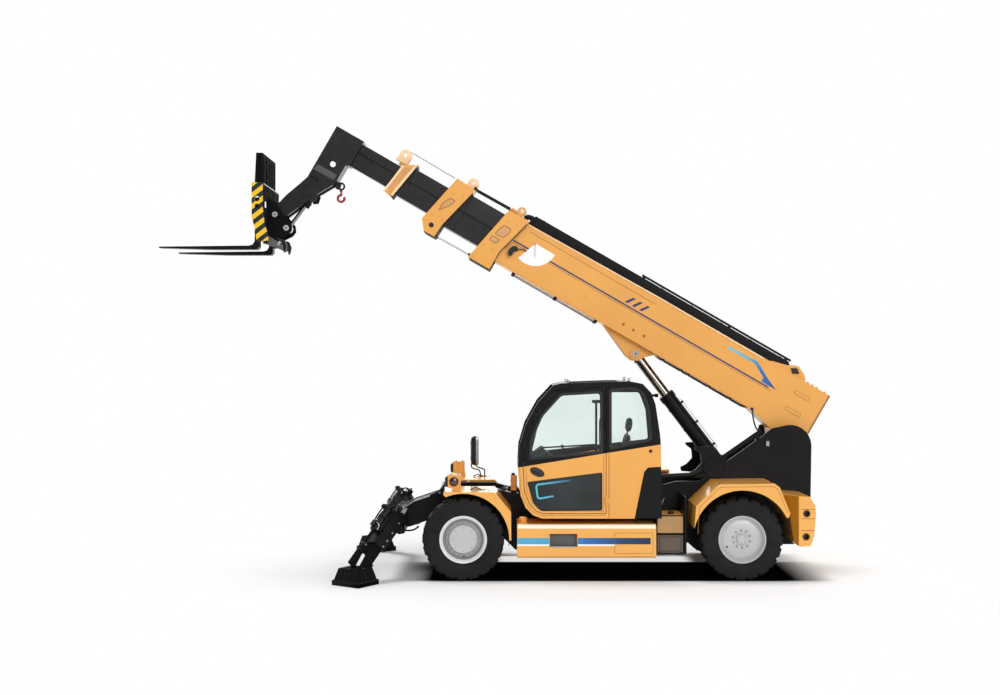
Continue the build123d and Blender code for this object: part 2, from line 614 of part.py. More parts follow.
def side_plates():
    plates = pair(SIDE_PLATE, CARRIAGE_HALF, CARRIAGE_HALF + 25)
    for x, z, radius in PLATE_HOLES:
        plates = [plate - rod_y(x, z, radius, -700, 700) for plate in plates]
    return plates


def forks():
    return pair(FORK, FORK_Y - FORK_WIDTH / 2, FORK_Y + FORK_WIDTH / 2)


# --- cylinders ----------------------------------------------------------------------------------
def boom_point(point):
    along, above = point
    x = BOOM_PIVOT[0] + along * cos(radians(BOOM_ANGLE)) - above * sin(radians(BOOM_ANGLE))
    z = BOOM_PIVOT[1] + along * sin(radians(BOOM_ANGLE)) + above * cos(radians(BOOM_ANGLE))
    return x, z


def between(start, end, distance):
    """The point that lies distance from start towards end."""
    length = ((end[0] - start[0]) ** 2 + (end[1] - start[1]) ** 2) ** 0.5
    return [start[i] + (end[i] - start[i]) * distance / length for i in (0, 1)]


def cylinder(start, end, barrel_radius, rod_radius, barrel_length, rod_length, bore_start, base_half, eye_half):
    """A ram between two pins: its barrel, open for the rod, and its rod with the eye."""
    length = ((end[0] - start[0]) ** 2 + (end[1] - start[1]) ** 2) ** 0.5

    def along(s0, s1, radius):
        a, b = between(start, end, s0), between(start, end, s1)
        return bar((a[0], 0, a[1]), (b[0], 0, b[1]), radius)

    barrel = fuse(along(0, barrel_length, barrel_radius),
                  along(barrel_length - 90, barrel_length, barrel_radius + 12),
                  rod_y(start[0], start[1], barrel_radius + 15, -base_half, base_half))
    barrel = barrel - along(bore_start, barrel_length + 5, rod_radius + 1)
    rod = fuse(along(length - rod_length, length, rod_radius),
               rod_y(end[0], end[1], rod_radius + 38, -eye_half, eye_half))
    return barrel, rod


# --- nodes --------------------------------------------------------------------------------------
def build():
    node("main_frame", main_frame())
    node("outrigger_beam", outrigger_beam())
    node("counterweight", counterweight())
    node("fenders", *fenders())
    node("side_boxes", step_box(), right_box())
    node("tank_boxes", *tank_boxes())
    node("engine_hood", engine_hood())
    node("engine_block", engine_block())
    node("front_axle", axle(0))
    node("rear_axle", axle(-WHEELBASE))
    rubber = tyre()
    rim = wheel_profile(RIM_SECTION)
    for corner, x, side in (("fl", 0, 1), ("fr", 0, -1), ("rl", -WHEELBASE, 1), ("rr", -WHEELBASE, -1)):
        node(f"knuckle_{corner}", knuckle(x, side))
        node(f"rim_{corner}", at_wheel(rim, x, side))
        node(f"tyre_{corner}", at_wheel(rubber, x, side))

    shell = cab_shell()
    below = slab(BELT, 0, 1300)
    corner = slab(REAR_CORNER, 0, 1300)
    node("cab_lower", shell & below)
    node("cab_upper", shell - below - corner)
    node("cab_rear_panel", shell & corner)
    node("cab_glass", *cab_glass())
    node("cab_interior", *cab_interior())
    node("seat", *seat())
    lower, upper, glass = door_parts()
    node("door_lower", lower)
    node("door_upper", upper)
    node("door_glass", *glass)

    node("headlamps", *[headlamp(side) for side in (1, -1)])
    node("mirror", mirror_arm())

    node("boom_base", *on_boom(boom_base()))
    tray = slab([(540, 893), (2600, 893), (4635, 866), (4635, 985), (540, 1000)], -90, 150)
    rail = block(550, 2920, 120, 150, 1030, 1060)
    posts = [block(x, x + 40, 120, 150, 1000, 1030) for x in (600, 1500, 2860)]
    node("hose_tray", *on_boom(fuse(tray, rail, *posts)))
    node("stage_2", *on_boom(tube(*SECTIONS["stage_2"])))
    node("stage_3", *on_boom(tube(*SECTIONS["stage_3"])))
    node("boom_head", *on_boom(boom_head()))
    node("collar_2", *on_boom(collar(COLLAR_2, (257, 824, 160), 215, SHEAVE_2, 890)))
    node("collar_3", *on_boom(collar(COLLAR_3, (303, 752, 120), 170, SHEAVE_3, 700)))
    node("hook", hook())

    node("fork_carriage", fork_carriage())
    node("carriage_side_plates", *side_plates())
    node("forks", *forks())

    lift_barrel, lift_rod = cylinder(LIFT_BASE, boom_point(LIFT_PIN), 102, 56, 1180, 1340, 80, 115, 65)
    node("lift_barrel", lift_barrel)
    node("lift_rod", lift_rod)
    tilt_barrel, tilt_rod = cylinder(boom_point(TILT_TOP), boom_point(TILT_EYE), 50, 28, 700, 640, 110, 75, 55)
    node("tilt_barrel", tilt_barrel)
    node("tilt_rod", tilt_rod)

    leg = outrigger_leg()
    node("outrigger_leg_left", leg)
    node("outrigger_leg_right", mirrored(leg))


build()
for name, shape in NODES.items():
    export_step(TO_CENTRE * shape, f"parts/{name}.step")
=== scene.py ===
import json
from math import cos, pi, radians, sin

import bmesh
import bpy
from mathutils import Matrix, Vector
from mathutils.bvhtree import BVHTree


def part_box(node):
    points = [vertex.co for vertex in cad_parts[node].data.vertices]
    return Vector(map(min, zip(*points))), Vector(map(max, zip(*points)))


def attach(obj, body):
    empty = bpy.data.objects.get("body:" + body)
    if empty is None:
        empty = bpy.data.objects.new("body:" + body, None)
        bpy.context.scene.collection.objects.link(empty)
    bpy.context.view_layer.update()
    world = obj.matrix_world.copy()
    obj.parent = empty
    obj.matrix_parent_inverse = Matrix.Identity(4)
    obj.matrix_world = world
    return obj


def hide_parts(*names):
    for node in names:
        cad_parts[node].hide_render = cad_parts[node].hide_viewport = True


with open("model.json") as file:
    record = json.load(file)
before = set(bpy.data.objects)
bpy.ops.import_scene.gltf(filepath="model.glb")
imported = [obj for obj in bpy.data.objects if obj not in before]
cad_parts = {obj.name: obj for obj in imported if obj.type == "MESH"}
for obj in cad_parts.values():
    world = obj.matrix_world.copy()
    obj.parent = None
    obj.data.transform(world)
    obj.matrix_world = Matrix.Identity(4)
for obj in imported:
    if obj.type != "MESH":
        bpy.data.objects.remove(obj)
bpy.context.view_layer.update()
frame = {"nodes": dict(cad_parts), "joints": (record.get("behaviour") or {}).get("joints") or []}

scene = bpy.context.scene
scene.view_settings.view_transform = "Standard"
SIDES = (1, -1)
X, Y, Z = Vector((1, 0, 0)), Vector((0, 1, 0)), Vector((0, 0, 1))


# ---- places: metres, x forward, y to the machine's left, z up ----
def middle(node):
    low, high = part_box(node)
    return (low + high) / 2


AXLE_X, _, TYRE_R = middle("rim_fl")
joint_at = {j["name"]: Vector(j["pos_m"]) for j in frame["joints"] if j.get("pos_m")}
PIVOT, LIFT_PIN = joint_at["boom_lift"], joint_at["lift_rod_swing"]
BOOM_TURN = radians(30)


def at(x, y, z):
    """A point given ahead of the front axle."""
    return Vector((x + AXLE_X, y, z))


def boom(u, y, n):
    """A point given along the boom from its pivot, across it, and above its pivot line."""
    return Vector((PIVOT.x + u * cos(BOOM_TURN) - n * sin(BOOM_TURN), y,
                   PIVOT.z + u * sin(BOOM_TURN) + n * cos(BOOM_TURN)))


BOOM_WAY, BOOM_UP = boom(1, 0, 0) - boom(0, 0, 0), boom(0, 0, 1) - boom(0, 0, 0)


# ---- materials ----
class Tree:
    """A node tree whose nodes are made and linked in one call."""

    def __init__(self, owner):
        owner.use_nodes = True
        self.nodes, self.links = owner.node_tree.nodes, owner.node_tree.links

    def put(self, node, inputs):
        """Gives each input a value, or the output that feeds it."""
        for key, value in inputs.items():
            if isinstance(value, bpy.types.NodeSocket):
                self.links.new(value, node.inputs[key])
            else:
                node.inputs[key].default_value = value

    def node(self, kind, inputs=None, out=0, **settings):
        """Adds a node and returns its output."""
        node = self.nodes.new("ShaderNode" + kind)
        for key, value in settings.items():
            setattr(node, key, value)
        self.put(node, inputs or {})
        return node.outputs[out]

    def math(self, kind, *values, **settings):
        return self.node("Math", dict(enumerate(values)), operation=kind, **settings)

    def noise(self, scale, detail):
        return self.node("TexNoise", {"Scale": scale, "Detail": detail, "Vector": self.node("TexCoord", out="Object")},
                         "Fac")

    def along(self, direction, coordinates="Object"):
        """How far a place lies along a direction."""
        return self.node("VectorMath", {0: self.node("TexCoord", out=coordinates), 1: direction}, "Value",
                         operation="DOT_PRODUCT")

    def ramp(self, source, *stops, mode="LINEAR"):
        node = self.node("ValToRGB", {"Fac": source}).node
        node.color_ramp.interpolation = mode
        for i, (place, colour) in enumerate(stops):
            stop = node.color_ramp.elements[i] if i < 2 else node.color_ramp.elements.new(place)
            stop.position = place
            stop.color = (*colour, 1)
        return node.outputs["Color"]

    def seen_directly(self):
        """1 for what the camera sees, straight, in a reflection or through glass."""
        rays = self.node("LightPath").node.outputs
        seen = self.math("MAXIMUM", rays["Is Camera Ray"], rays["Is Glossy Ray"])
        return self.math("MAXIMUM", seen, rays["Is Transmission Ray"])


class Paint(Tree):
    """A material, with its principled shader."""

    def __init__(self, name):
        self.mat = bpy.data.materials.new(name)
        super().__init__(self.mat)
        self.shader = self.nodes["Principled BSDF"]

    def set(self, **inputs):
        self.put(self.shader, {key.replace("_", " "): value for key, value in inputs.items()})

    def gloss(self, rough, low, scale, detail):
        """Roughness that drifts over the surface."""
        self.set(Roughness=self.ramp(self.noise(scale, detail), (0.2, (rough * low,) * 3), (0.8, (rough * 1.2,) * 3)))

    def relief(self, source, strength, distance):
        self.set(Normal=self.node("Bump", {"Strength": strength, "Distance": distance, "Height": source}))
        return self.mat


def tinted(colour, factor):
    return tuple(min(1, c * factor) for c in colour)


def surface(name, colour, rough=0.4, metal=0.0, coat=0.0, spread=0.12, grain=60, height=0.0006, depth=0.15,
            gleam=0.5):
    """Paint, metal or plastic: its colour and gloss drift a little, over a fine relief."""
    t = Paint(name)
    t.set(Base_Color=t.ramp(t.noise(1.7, 5), (0.3, tinted(colour, 1 - spread)),
                            (0.7, tinted(colour, 1 + spread * 0.5))),
          Metallic=metal, Coat_Weight=coat, Coat_Roughness=0.08, Specular_IOR_Level=gleam)
    t.gloss(rough, 0.85, 9, 6)
    return t.relief(t.noise(grain, 3), depth, height)


def pane(name, colour, rough=0.02, spread=0.06):
    t = Paint(name)
    t.set(Base_Color=t.ramp(t.noise(1.2, 2), (0.3, tinted(colour, 1 - spread)), (0.7, colour)),
          Roughness=rough, Transmission_Weight=1.0, IOR=1.3)
    return t.relief(t.noise(2.5, 2), 0.02, 0.002)


def banded(name, colours, direction, pitch, rough=0.4):
    """Equal bars of two paints that repeat along a direction."""
    t = Paint(name)
    part = t.math("FRACT", t.math("DIVIDE", t.along(direction), pitch))
    t.set(Base_Color=t.ramp(part, (0.0, colours[0]), (0.5, colours[1]), mode="CONSTANT"))
    t.gloss(rough, 0.8, 14, 5)
    return t.relief(t.noise(80, 3), 0.12, 0.0005)


def faded(name, stops, start, length):
    """A paint that turns from one colour to another towards the machine's rear."""
    t = Paint(name)
    span = t.node("MapRange", {"From Min": start, "From Max": start + length, "Value": t.along((-1, 0, 0))}, "Result")
    t.set(Base_Color=t.ramp(span, *stops), Roughness=0.35)
    return t.relief(t.noise(80, 3), 0.1, 0.0004)


def woven(name, colour, pitch=0.004):
    """Cloth with a crossed weave."""
    t = Paint(name)
    coord = t.node("TexCoord", out="Object")
    waves = [t.node("TexWave", {"Scale": 1 / pitch / 3, "Distortion": 0.6, "Vector": coord}, "Fac",
                    bands_direction=direction) for direction in "XZ"]
    height = t.math("MULTIPLY", *waves)
    t.set(Base_Color=t.ramp(height, (0.1, tinted(colour, 0.6)), (0.8, tinted(colour, 1.4))), Roughness=0.85,
          Sheen_Weight=0.25)
    return t.relief(height, 0.4, 0.001)


def grey(level):
    return (level,) * 3


ORANGE = surface("orange_paint", (0.835, 0.388, 0.075), 0.3, coat=0.15, spread=0.05)
FENDER_ORANGE = surface("fender_paint", (0.865, 0.405, 0.062), 0.3, coat=0.8, spread=0.05)
PIN = surface("pin_plating", (0.5, 0.5, 0.47), 0.45, 0.2, spread=0.1)
GLINT = surface("sunlit_edge", (0.95, 0.87, 0.68), 0.35, spread=0.03)
PAINTED_HIGHLIGHT_ORANGE = surface("sunlit_orange", (0.93, 0.66, 0.38), 0.35, spread=0.04)
BLACK = surface("black_paint", (0.0095, 0.0095, 0.0098), 0.3, spread=0.2, gleam=0.12)
BOOM_BLACK = surface("boom_black", (0.0115, 0.0115, 0.012), 0.3, spread=0.2, gleam=0.42)
GLOSS = surface("gloss_black", (0.014, 0.014, 0.015), 0.16, coat=0.8, spread=0.1)
GREY = surface("grey_casting", (0.11, 0.11, 0.115), 0.6, spread=0.25, grain=120, height=0.001, depth=0.4)
RIM = surface("rim_paint", grey(0.52), 0.38, 0.15, spread=0.06)
# the rim grey painted darker as shade in its recess, ring and hub bolts, and lighter as a highlight on its lip
RIM_RECESS_PAINTED_SHADE = surface("rim_recess_painted_shade", grey(0.215), 0.5, spread=0.1)
RIM_LIP_PAINTED_HIGHLIGHT = surface("rim_lip_painted_highlight", grey(0.74), 0.38, spread=0.04)
RIM_PAINTED_SHADE = surface("rim_shade", grey(0.3), 0.5, spread=0.15, grain=160, depth=0.4, height=0.001)
RUBBER = surface("tyre_rubber", (0.0145, 0.0145, 0.015), 0.75, gleam=0.2, spread=0.3, grain=200, height=0.0012,
                 depth=0.5)
SEAL = surface("rubber_seal", grey(0.012), 0.6, spread=0.2, grain=150)
PLASTIC = surface("dark_plastic", (0.028, 0.028, 0.03), 0.5, spread=0.15, grain=260, height=0.0008, depth=0.4)
CHROME = surface("hard_chrome", (0.36, 0.35, 0.34), 0.14, 1.0, spread=0.04)
STEEL = surface("bare_steel", (0.42, 0.42, 0.43), 0.32, 1.0)
WHITE = surface("white_paint", grey(0.93), spread=0.04)
RED = surface("red_paint", (0.34, 0.006, 0.02), 0.3, coat=0.4, spread=0.1)
BLUE = surface("blue_paint", (0.01, 0.032, 0.135), 0.35, spread=0.06)
SEAM = surface("seam_shadow", (0.3, 0.125, 0.03), 0.6, spread=0.1)
CAP = surface("black_cap", (0.01, 0.01, 0.011), 0.35, spread=0.2, gleam=0.4)
FILM = surface("tinted_pane", (0.022, 0.027, 0.029), 0.16, gleam=0.35, spread=0.5, depth=0.02)
LENS = surface("lamp_lens", (0.55, 0.56, 0.58), 0.08, coat=1.0, spread=0.3, grain=140, height=0.002, depth=0.6)
RED_LENS = surface("red_lens", (0.06, 0.004, 0.008), 0.1, coat=1.0, spread=0.3, grain=180, height=0.002, depth=0.5)
MATTE = surface("matte_black", (0.0085, 0.0085, 0.009), 0.85, spread=0.2, gleam=0.05)
SHADED = surface("shaded_orange", (0.66, 0.33, 0.13), 0.6, spread=0.1)
MOUTH = surface("mouth_shade", (0.02, 0.013, 0.01), 0.7, spread=0.2)
TANK_ORANGE_PAINTED_SHADE = surface("tank_orange_painted_shade", (0.52, 0.29, 0.105), spread=0.25)
TANK_SHADE = surface("tank_deep_painted_shade", (0.115, 0.088, 0.066), 0.55, spread=0.35)
SATIN = surface("satin_grey", (0.07, 0.07, 0.075), 0.5, spread=0.1)
DEEP = surface("shaded_yellow", (0.34, 0.125, 0.003), 0.5, spread=0.1, gleam=0.15)
GLASS = pane("clear_glass", (0.9, 0.965, 0.94))
CLOTH = woven("seat_cloth", (0.03, 0.03, 0.033))
HAZARD = banded("hazard_paint", [grey(0.012), (0.86, 0.53, 0.008)], (0.78, 0, 1.0), 0.151)
STRIPE = faded("side_stripe", [(0.0, (0.08, 0.4, 0.62)), (0.3, (0.06, 0.33, 0.58)), (0.52, (0.012, 0.14, 0.45)),
                               (0.8, (0.005, 0.04, 0.13)), (1.0, (0.004, 0.014, 0.065))], 0.25, 1.75)
BENT_BAND = faded("bent_stripe", [(0.0, (0.22, 0.55, 0.6)), (0.45, (0.1, 0.46, 0.66)), (0.75, (0.012, 0.16, 0.48)),
                                  (1.0, (0.008, 0.07, 0.33))], 3.18, 0.58)
BRACKET = faded("door_bracket", [(0.0, (0.1, 0.52, 0.66)), (0.35, (0.07, 0.38, 0.6)), (0.75, (0.03, 0.09, 0.22)),
                                 (1.0, (0.022, 0.03, 0.04))], 0.485, 0.6)


# ---- CAD nodes: softened edges and paint ----
def soften(obj, width, segments=2):
    """Rounds an object's edges and keeps its flats flat."""
    bevel = obj.modifiers.new("edges", "BEVEL")
    bevel.width, bevel.segments = width, segments
    bevel.limit_method, bevel.angle_limit = "ANGLE", radians(32)
    bevel.use_clamp_overlap = True
    obj.modifiers.new("normals", "WEIGHTED_NORMAL").keep_sharp = False


# each paint and slot, then nodes with the width in millimetres of their soft edges
KEPT = [
    (BLACK, "black_steel", "main_frame 5 outrigger_beam 6 front_axle 8 rear_axle 8 cab_upper 12 cab_rear_panel 12 "
                           "door_upper 6 hose_tray 6 forks 4 tilt_barrel 4"),
    (MATTE, "black_steel", "fork_carriage 4 outrigger_leg_left 6 outrigger_leg_right 6"),
    (BOOM_BLACK, "black_steel", "stage_2 10 stage_3 8 boom_head 8"),
    (FENDER_ORANGE, "orange_paint", "counterweight 18 fenders 10"),
    (ORANGE, "orange_paint",
     "tank_boxes 8 engine_hood 10 cab_lower 12 door_lower 6 boom_base 10 collar_2 8 collar_3 8"),
    (GREY, "cast_grey", "engine_block 12 knuckle_fl 6 knuckle_fr 6 knuckle_rl 6 knuckle_rr 6"),
    (GLASS, "glass", "cab_glass 0 door_glass 0"),
    (PLASTIC, "dark_plastic", "cab_interior 4"),
    (HAZARD, "hazard_paint", "carriage_side_plates 3"),
    (CHROME, "chrome", "tilt_rod 3"),
]
for mat, slot, widths in KEPT:
    words = widths.split()
    for name, width in zip(words[::2], words[1::2]):
        obj = frame["nodes"][name]
        obj.data.materials.clear()
        obj.data.materials.append(mat)
        obj.modifiers.new("weld", "WELD").merge_threshold = 0.00002
        flats = obj.modifiers.new("flat", "DECIMATE")
        flats.decimate_type, flats.angle_limit = "DISSOLVE", radians(0.6)
        if width != "0":
            soften(obj, int(width) / 1000)


# ---- mesh making ----
def rect(x0, x1, z0, z1):
    return [(x0, z0), (x1, z0), (x1, z1), (x0, z1)]


def rounded(points, radius, steps=4):
    """A closed outline with its corners rounded."""
    result = []
    for i in range(len(points)):
        p = Vector(points[i])
        a, b = Vector(points[i - 1]) - p, Vector(points[(i + 1) % len(points)]) - p
        reach = min(radius, a.length * 0.45, b.length * 0.45)
        start, end = p + a.normalized() * reach, p + b.normalized() * reach
        for k in range(steps + 1):
            t = k / steps
            result.append(tuple((1 - t) ** 2 * start + 2 * t * (1 - t) * p + t * t * end))
    return result


def grown(points, distance):
    """A closed outline moved outwards, or inwards when distance is negative."""
    count = len(points)
    area = sum(points[i - 1][0] * points[i][1] - points[i][0] * points[i - 1][1] for i in range(count))
    side = 1 if area > 0 else -1
    result = []
    for i in range(count):
        p = Vector(points[i])
        a, b = (p - Vector(points[i - 1])).normalized(), (Vector(points[(i + 1) % count]) - p).normalized()
        na, nb = Vector((a.y, -a.x)), Vector((b.y, -b.x))
        mid = (na + nb).normalized()
        result.append(tuple(p + mid * side * distance / max(0.4, mid.dot(na))))
    return result


def arc(x, z, radius, first, last, steps):
    angles = [radians(first + (last - first) * i / steps) for i in range(steps + 1)]
    return [(x + radius * cos(a), z + radius * sin(a)) for a in angles]


def smooth_path(points, steps=6):
    """Points on a curve through the given ones."""
    pts = [Vector(p) for p in points]
    pts = [2 * pts[0] - pts[1], *pts, 2 * pts[-1] - pts[-2]]
    result = []
    for i in range(1, len(pts) - 2):
        a, b, c, d = pts[i - 1:i + 3]
        for k in range(steps):
            t = k / steps
            result.append(0.5 * (2 * b + (c - a) * t + (2 * a - 5 * b + 4 * c - d) * t * t
                                 + (3 * b - a - 3 * c + d) * t ** 3))
    return [*result, pts[-2]]


def ringed(start, n):
    """Quads between a loop of n points and the loop that follows it."""
    return [(start + k, start + (k + 1) % n, start + n + (k + 1) % n, start + n + k) for k in range(n)]


class Piece:
    """One mesh of several forms, which rides on a body. A form has the piece's paint unless it names its own.

    A point is a tuple that the piece's place turns into a Vector, or a Vector that stays as it is.
    """

    def __init__(self, name, body, slot, paint, place=at):
        self.name, self.body, self.slot, self.place = name, body, slot, place
        self.paint, self.mats, self.bm = paint, [], bmesh.new()

    def put(self, point):
        return point if isinstance(point, Vector) else self.place(*point)

    def add(self, verts, faces, mat=None):
        mat = mat or self.paint
        if mat not in self.mats:
            self.mats.append(mat)
        made = [self.bm.verts.new(v) for v in verts]
        for face in faces:
            self.bm.faces.new([made[i] for i in face]).material_index = self.mats.index(mat)

    def skin(self, loops, mat=None):
        """Walls through several loops of as many points, closed at both ends."""
        n, last = len(loops[0]), len(loops) - 1
        faces = [list(range(n - 1, -1, -1)), [last * n + k for k in range(n)]]
        for i in range(last):
            faces += ringed(i * n, n)
        self.add([self.put(v) for loop in loops for v in loop], faces, mat)

    def prism(self, outline, y0, y1, mat=None):
        """A side outline, as thick as from y0 to y1."""
        self.skin([[self.place(x, y, z) for x, z in outline] for y in sorted((y0, y1))], mat)

    def both(self, outline, y0, y1, mat=None):
        self.prism(outline, y0, y1, mat)
        self.prism(outline, -y1, -y0, mat)

    def frame(self, outer, inner, y0, y1, mat=None):
        """A flat frame between two outlines of as many points."""
        n = len(outer)
        verts = [self.place(x, y, z) for y in sorted((y0, y1)) for line in (outer, inner) for x, z in line]
        faces = []
        for i in range(n):
            j = (i + 1) % n
            faces += [(i, j, n + j, n + i), (2 * n + i, 2 * n + j, 3 * n + j, 3 * n + i),
                      (i, j, 2 * n + j, 2 * n + i), (n + i, n + j, 3 * n + j, 3 * n + i)]
        self.add(verts, faces, mat)

    def box(self, x0, x1, y0, y1, z0, z1, mat=None):
        self.prism(rect(x0, x1, z0, z1), y0, y1, mat)

    def turned(self, profile, centre, axis, steps=32, mat=None):
        """A closed profile of (radius, along) points, turned about an axis through centre."""
        turn = Vector(axis).to_track_quat("Z", "Y").to_matrix()
        n, centre = len(profile), self.put(centre)
        verts = []
        for i in range(steps):
            a = 2 * pi * i / steps
            verts += [centre + turn @ Vector((max(r, 1e-5) * cos(a), max(r, 1e-5) * sin(a), d)) for r, d in profile]
        faces = []
        for i in range(steps):
            j = (i + 1) % steps
            faces += [(i * n + k, i * n + (k + 1) % n, j * n + (k + 1) % n, j * n + k) for k in range(n)]
        self.add(verts, faces, mat)

    def ring(self, centre, axis, radius, thick, mat=None, steps=24, sides=8):
        """A round eye of round bar."""
        bar = [(radius + thick * cos(2 * pi * k / sides), thick * sin(2 * pi * k / sides)) for k in range(sides)]
        self.turned(bar, centre, axis, steps, mat)

    def line(self, points, width, y0, y1, mat=None):
        """A flat band of one width along an open path."""
        pts = [Vector(p) for p in points]
        left, right = [], []
        for i, p in enumerate(pts):
            a = (p - pts[i - 1]).normalized() if i else (pts[1] - p).normalized()
            b = (pts[i + 1] - p).normalized() if i < len(pts) - 1 else a
            mid = (a + b).normalized()
            side = Vector((-mid.y, mid.x)) * width / 2 / max(0.5, mid.dot(a))
            left.append(tuple(p + side))
            right.append(tuple(p - side))
        for i in range(len(pts) - 1):
            self.prism([left[i], left[i + 1], right[i + 1], right[i]], y0, y1, mat)

    def disc(self, centre, axis, radius, thick, steps=32, mat=None, edge=0.15):
        """A round plate or boss with a softened rim, which grows along the axis from centre."""
        e = thick * edge
        self.turned([(0, 0), (radius, 0), (radius, thick - e), (radius - e, thick), (0, thick)], centre, axis, steps,
                    mat)

    def discs(self, x, y, z, radius, thick, steps=32, mat=None):
        """The same disc on both sides, facing outwards."""
        for side in SIDES:
            self.disc((x, side * y, z), Y * side, radius, thick, steps, mat)

    def bolt(self, centre, axis, radius, thick, mat=None):
        self.disc(centre, axis, radius * 1.5, thick * 0.3, 16, mat)
        self.disc(self.put(centre) + Vector(axis).normalized() * thick * 0.3, axis, radius, thick * 0.7, 6, mat)

    def tube(self, path, radius, sides=12, mat=None, curved=True):
        """A round bar or hose along a path."""
        pts = [self.put(p) for p in path]
        pts = smooth_path(pts) if curved and len(pts) > 2 else pts
        count = len(pts)
        tangents = [(pts[min(i + 1, count - 1)] - pts[max(i - 1, 0)]).normalized() for i in range(count)]
        up = tangents[0].orthogonal().normalized()
        loops = []
        for p, t in zip(pts, tangents):
            up = (up - t * up.dot(t)).normalized()
            side = t.cross(up)
            turns = [2 * pi * k / sides for k in range(sides)]
            loops.append([p + radius * (cos(a) * up + sin(a) * side) for a in turns])
        self.skin(loops, mat)

    def done(self, bevel=0, segments=2, replaces=(), level=0):
        bmesh.ops.recalc_face_normals(self.bm, faces=self.bm.faces)
        mesh = bpy.data.meshes.new(self.name)
        self.bm.to_mesh(mesh)
        self.bm.free()
        for mat in self.mats or [self.paint]:
            mesh.materials.append(mat)
        obj = bpy.data.objects.new(self.name, mesh)
        scene.collection.objects.link(obj)
        mesh.shade_smooth()
        if level:
            subdivision = obj.modifiers.new("round", "SUBSURF")
            subdivision.levels = subdivision.render_levels = level
        elif bevel:
            soften(obj, bevel, segments)
        else:
            mesh.set_sharp_from_angle(angle=radians(40))
        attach(obj, self.body)
        if replaces:
            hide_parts(*replaces)
        return obj


# ---- wheels ----
# tyre section: radius, y; the bead, the wall with its ribs, the shoulder and the tread's floor
TYRE_SIDE = [(0.302, 0.15), (0.302, 0.178), (0.313, 0.186), (0.326, 0.18), (0.345, 0.186), (0.372, 0.194),
             (0.376, 0.198), (0.384, 0.198), (0.388, 0.196), (0.42, 0.2), (0.452, 0.199), (0.456, 0.2015),
             (0.464, 0.2005), (0.468, 0.197), (0.494, 0.192), (0.508, 0.178), (0.511, 0.1), (0.512, 0.0)]
LUG_COUNT = 20
# lug stations: y, top radius, half width, lean
LUG_STATIONS = [(0.008, 0.5375, 0.034, -0.006), (0.07, 0.5375, 0.042, 0.002), (0.14, 0.5372, 0.055, 0.012),
                (0.172, 0.531, 0.06, 0.015), (0.188, 0.514, 0.06, 0.016), (0.196, 0.492, 0.054, 0.016),
                (0.2005, 0.47, 0.044, 0.016)]


def add_tyre(corner, centre, side):
    piece = Piece(f"tyre_rubber_{corner}", f"wheel_{corner}", "tyre", RUBBER)
    section = [(r, side * y) for r, y in TYRE_SIDE] + [(r, -side * y) for r, y in TYRE_SIDE[-2::-1]]
    piece.turned(section, centre, Y, 96)
    for row in SIDES:
        for i in range(LUG_COUNT):
            turn = 2 * pi / LUG_COUNT * (i + (0 if row > 0 else 0.5)) + pi / 2
            loops = []
            for y, top, half, lean in LUG_STATIONS:
                floor_r = min(top - 0.03, 0.503) if y < 0.19 else top - 0.03
                loops.append([])
                for r, w in ((floor_r, half * 1.12), (top, half), (top, -half), (floor_r, -half * 1.12)):
                    a = turn + (w + lean) / r
                    depth = y if top - r < 0.001 or y < 0.18 else y - 0.02
                    loops[-1].append(centre + Vector((r * cos(a), row * depth, r * sin(a))))
            piece.skin(loops)
    piece.done(0.004, 1, [f"tyre_{corner}"])


# rim profiles: radius, y
RIM_WALL = [(0.302, -0.175), (0.311, -0.176), (0.311, -0.184), (0.3, -0.184), (0.294, -0.17), (0.288, -0.08),
            (0.262, 0.0), (0.262, 0.09), (0.262, 0.085), (0.05, 0.085), (0.0, 0.085)]
RIM_LIP = [(0.272, 0.146), (0.282, 0.158), (0.294, 0.176), (0.3, 0.184), (0.311, 0.184), (0.3105, 0.176),
           (0.302, 0.174)]
FRONT_DISC = [(0.268, 0.132), (0.262, 0.112), (0.25, 0.106), (0.236, 0.104), (0.19, 0.112), (0.186, 0.118),
              (0.185, 0.148), (0.178, 0.157), (0.172, 0.1585), (0.166, 0.157), (0.12, 0.158), (0.0, 0.1595)]
REAR_DISC = [(0.272, 0.136), (0.266, 0.13), (0.262, 0.123), (0.256, 0.1235), (0.252, 0.119), (0.247, 0.1235),
             (0.236, 0.128), (0.15, 0.131), (0.075, 0.132), (0.072, 0.15), (0.066, 0.156), (0.0, 0.157)]
# painted shade on a ring and in a recess, and a painted highlight on the lip, of the front rims
FRONT_RINGS = [([(0.187, 0.1125), (0.187, 0.1145), (0.21, 0.1125), (0.23, 0.1075), (0.23, 0.104)], RIM_PAINTED_SHADE),
               ([(0.23, 0.104), (0.23, 0.1075), (0.236, 0.106), (0.25, 0.108), (0.261, 0.1165), (0.261, 0.112),
                 (0.236, 0.104)], RIM_RECESS_PAINTED_SHADE),
               ([(0.2665, 0.14), (0.2665, 0.152), (0.279, 0.166), (0.2925, 0.184), (0.3, 0.1862), (0.309, 0.1855),
                 (0.309, 0.18), (0.294, 0.17)], RIM_LIP_PAINTED_HIGHLIGHT)]
# bolts: count, radius of their circle, turn, depth, size, height, paint
FRONT_BOLTS = [(20, 0.213, 0.1, 0.111, 0.009, 0.011, STEEL), (8, 0.15, 0, 0.158, 0.006, 0.004, RIM_PAINTED_SHADE)]
REAR_BOLTS = [(10, 0.112, 0.25, 0.131, 0.011, 0.018, STEEL), (8, 0.05, 0, 0.156, 0.006, 0.006, STEEL)]


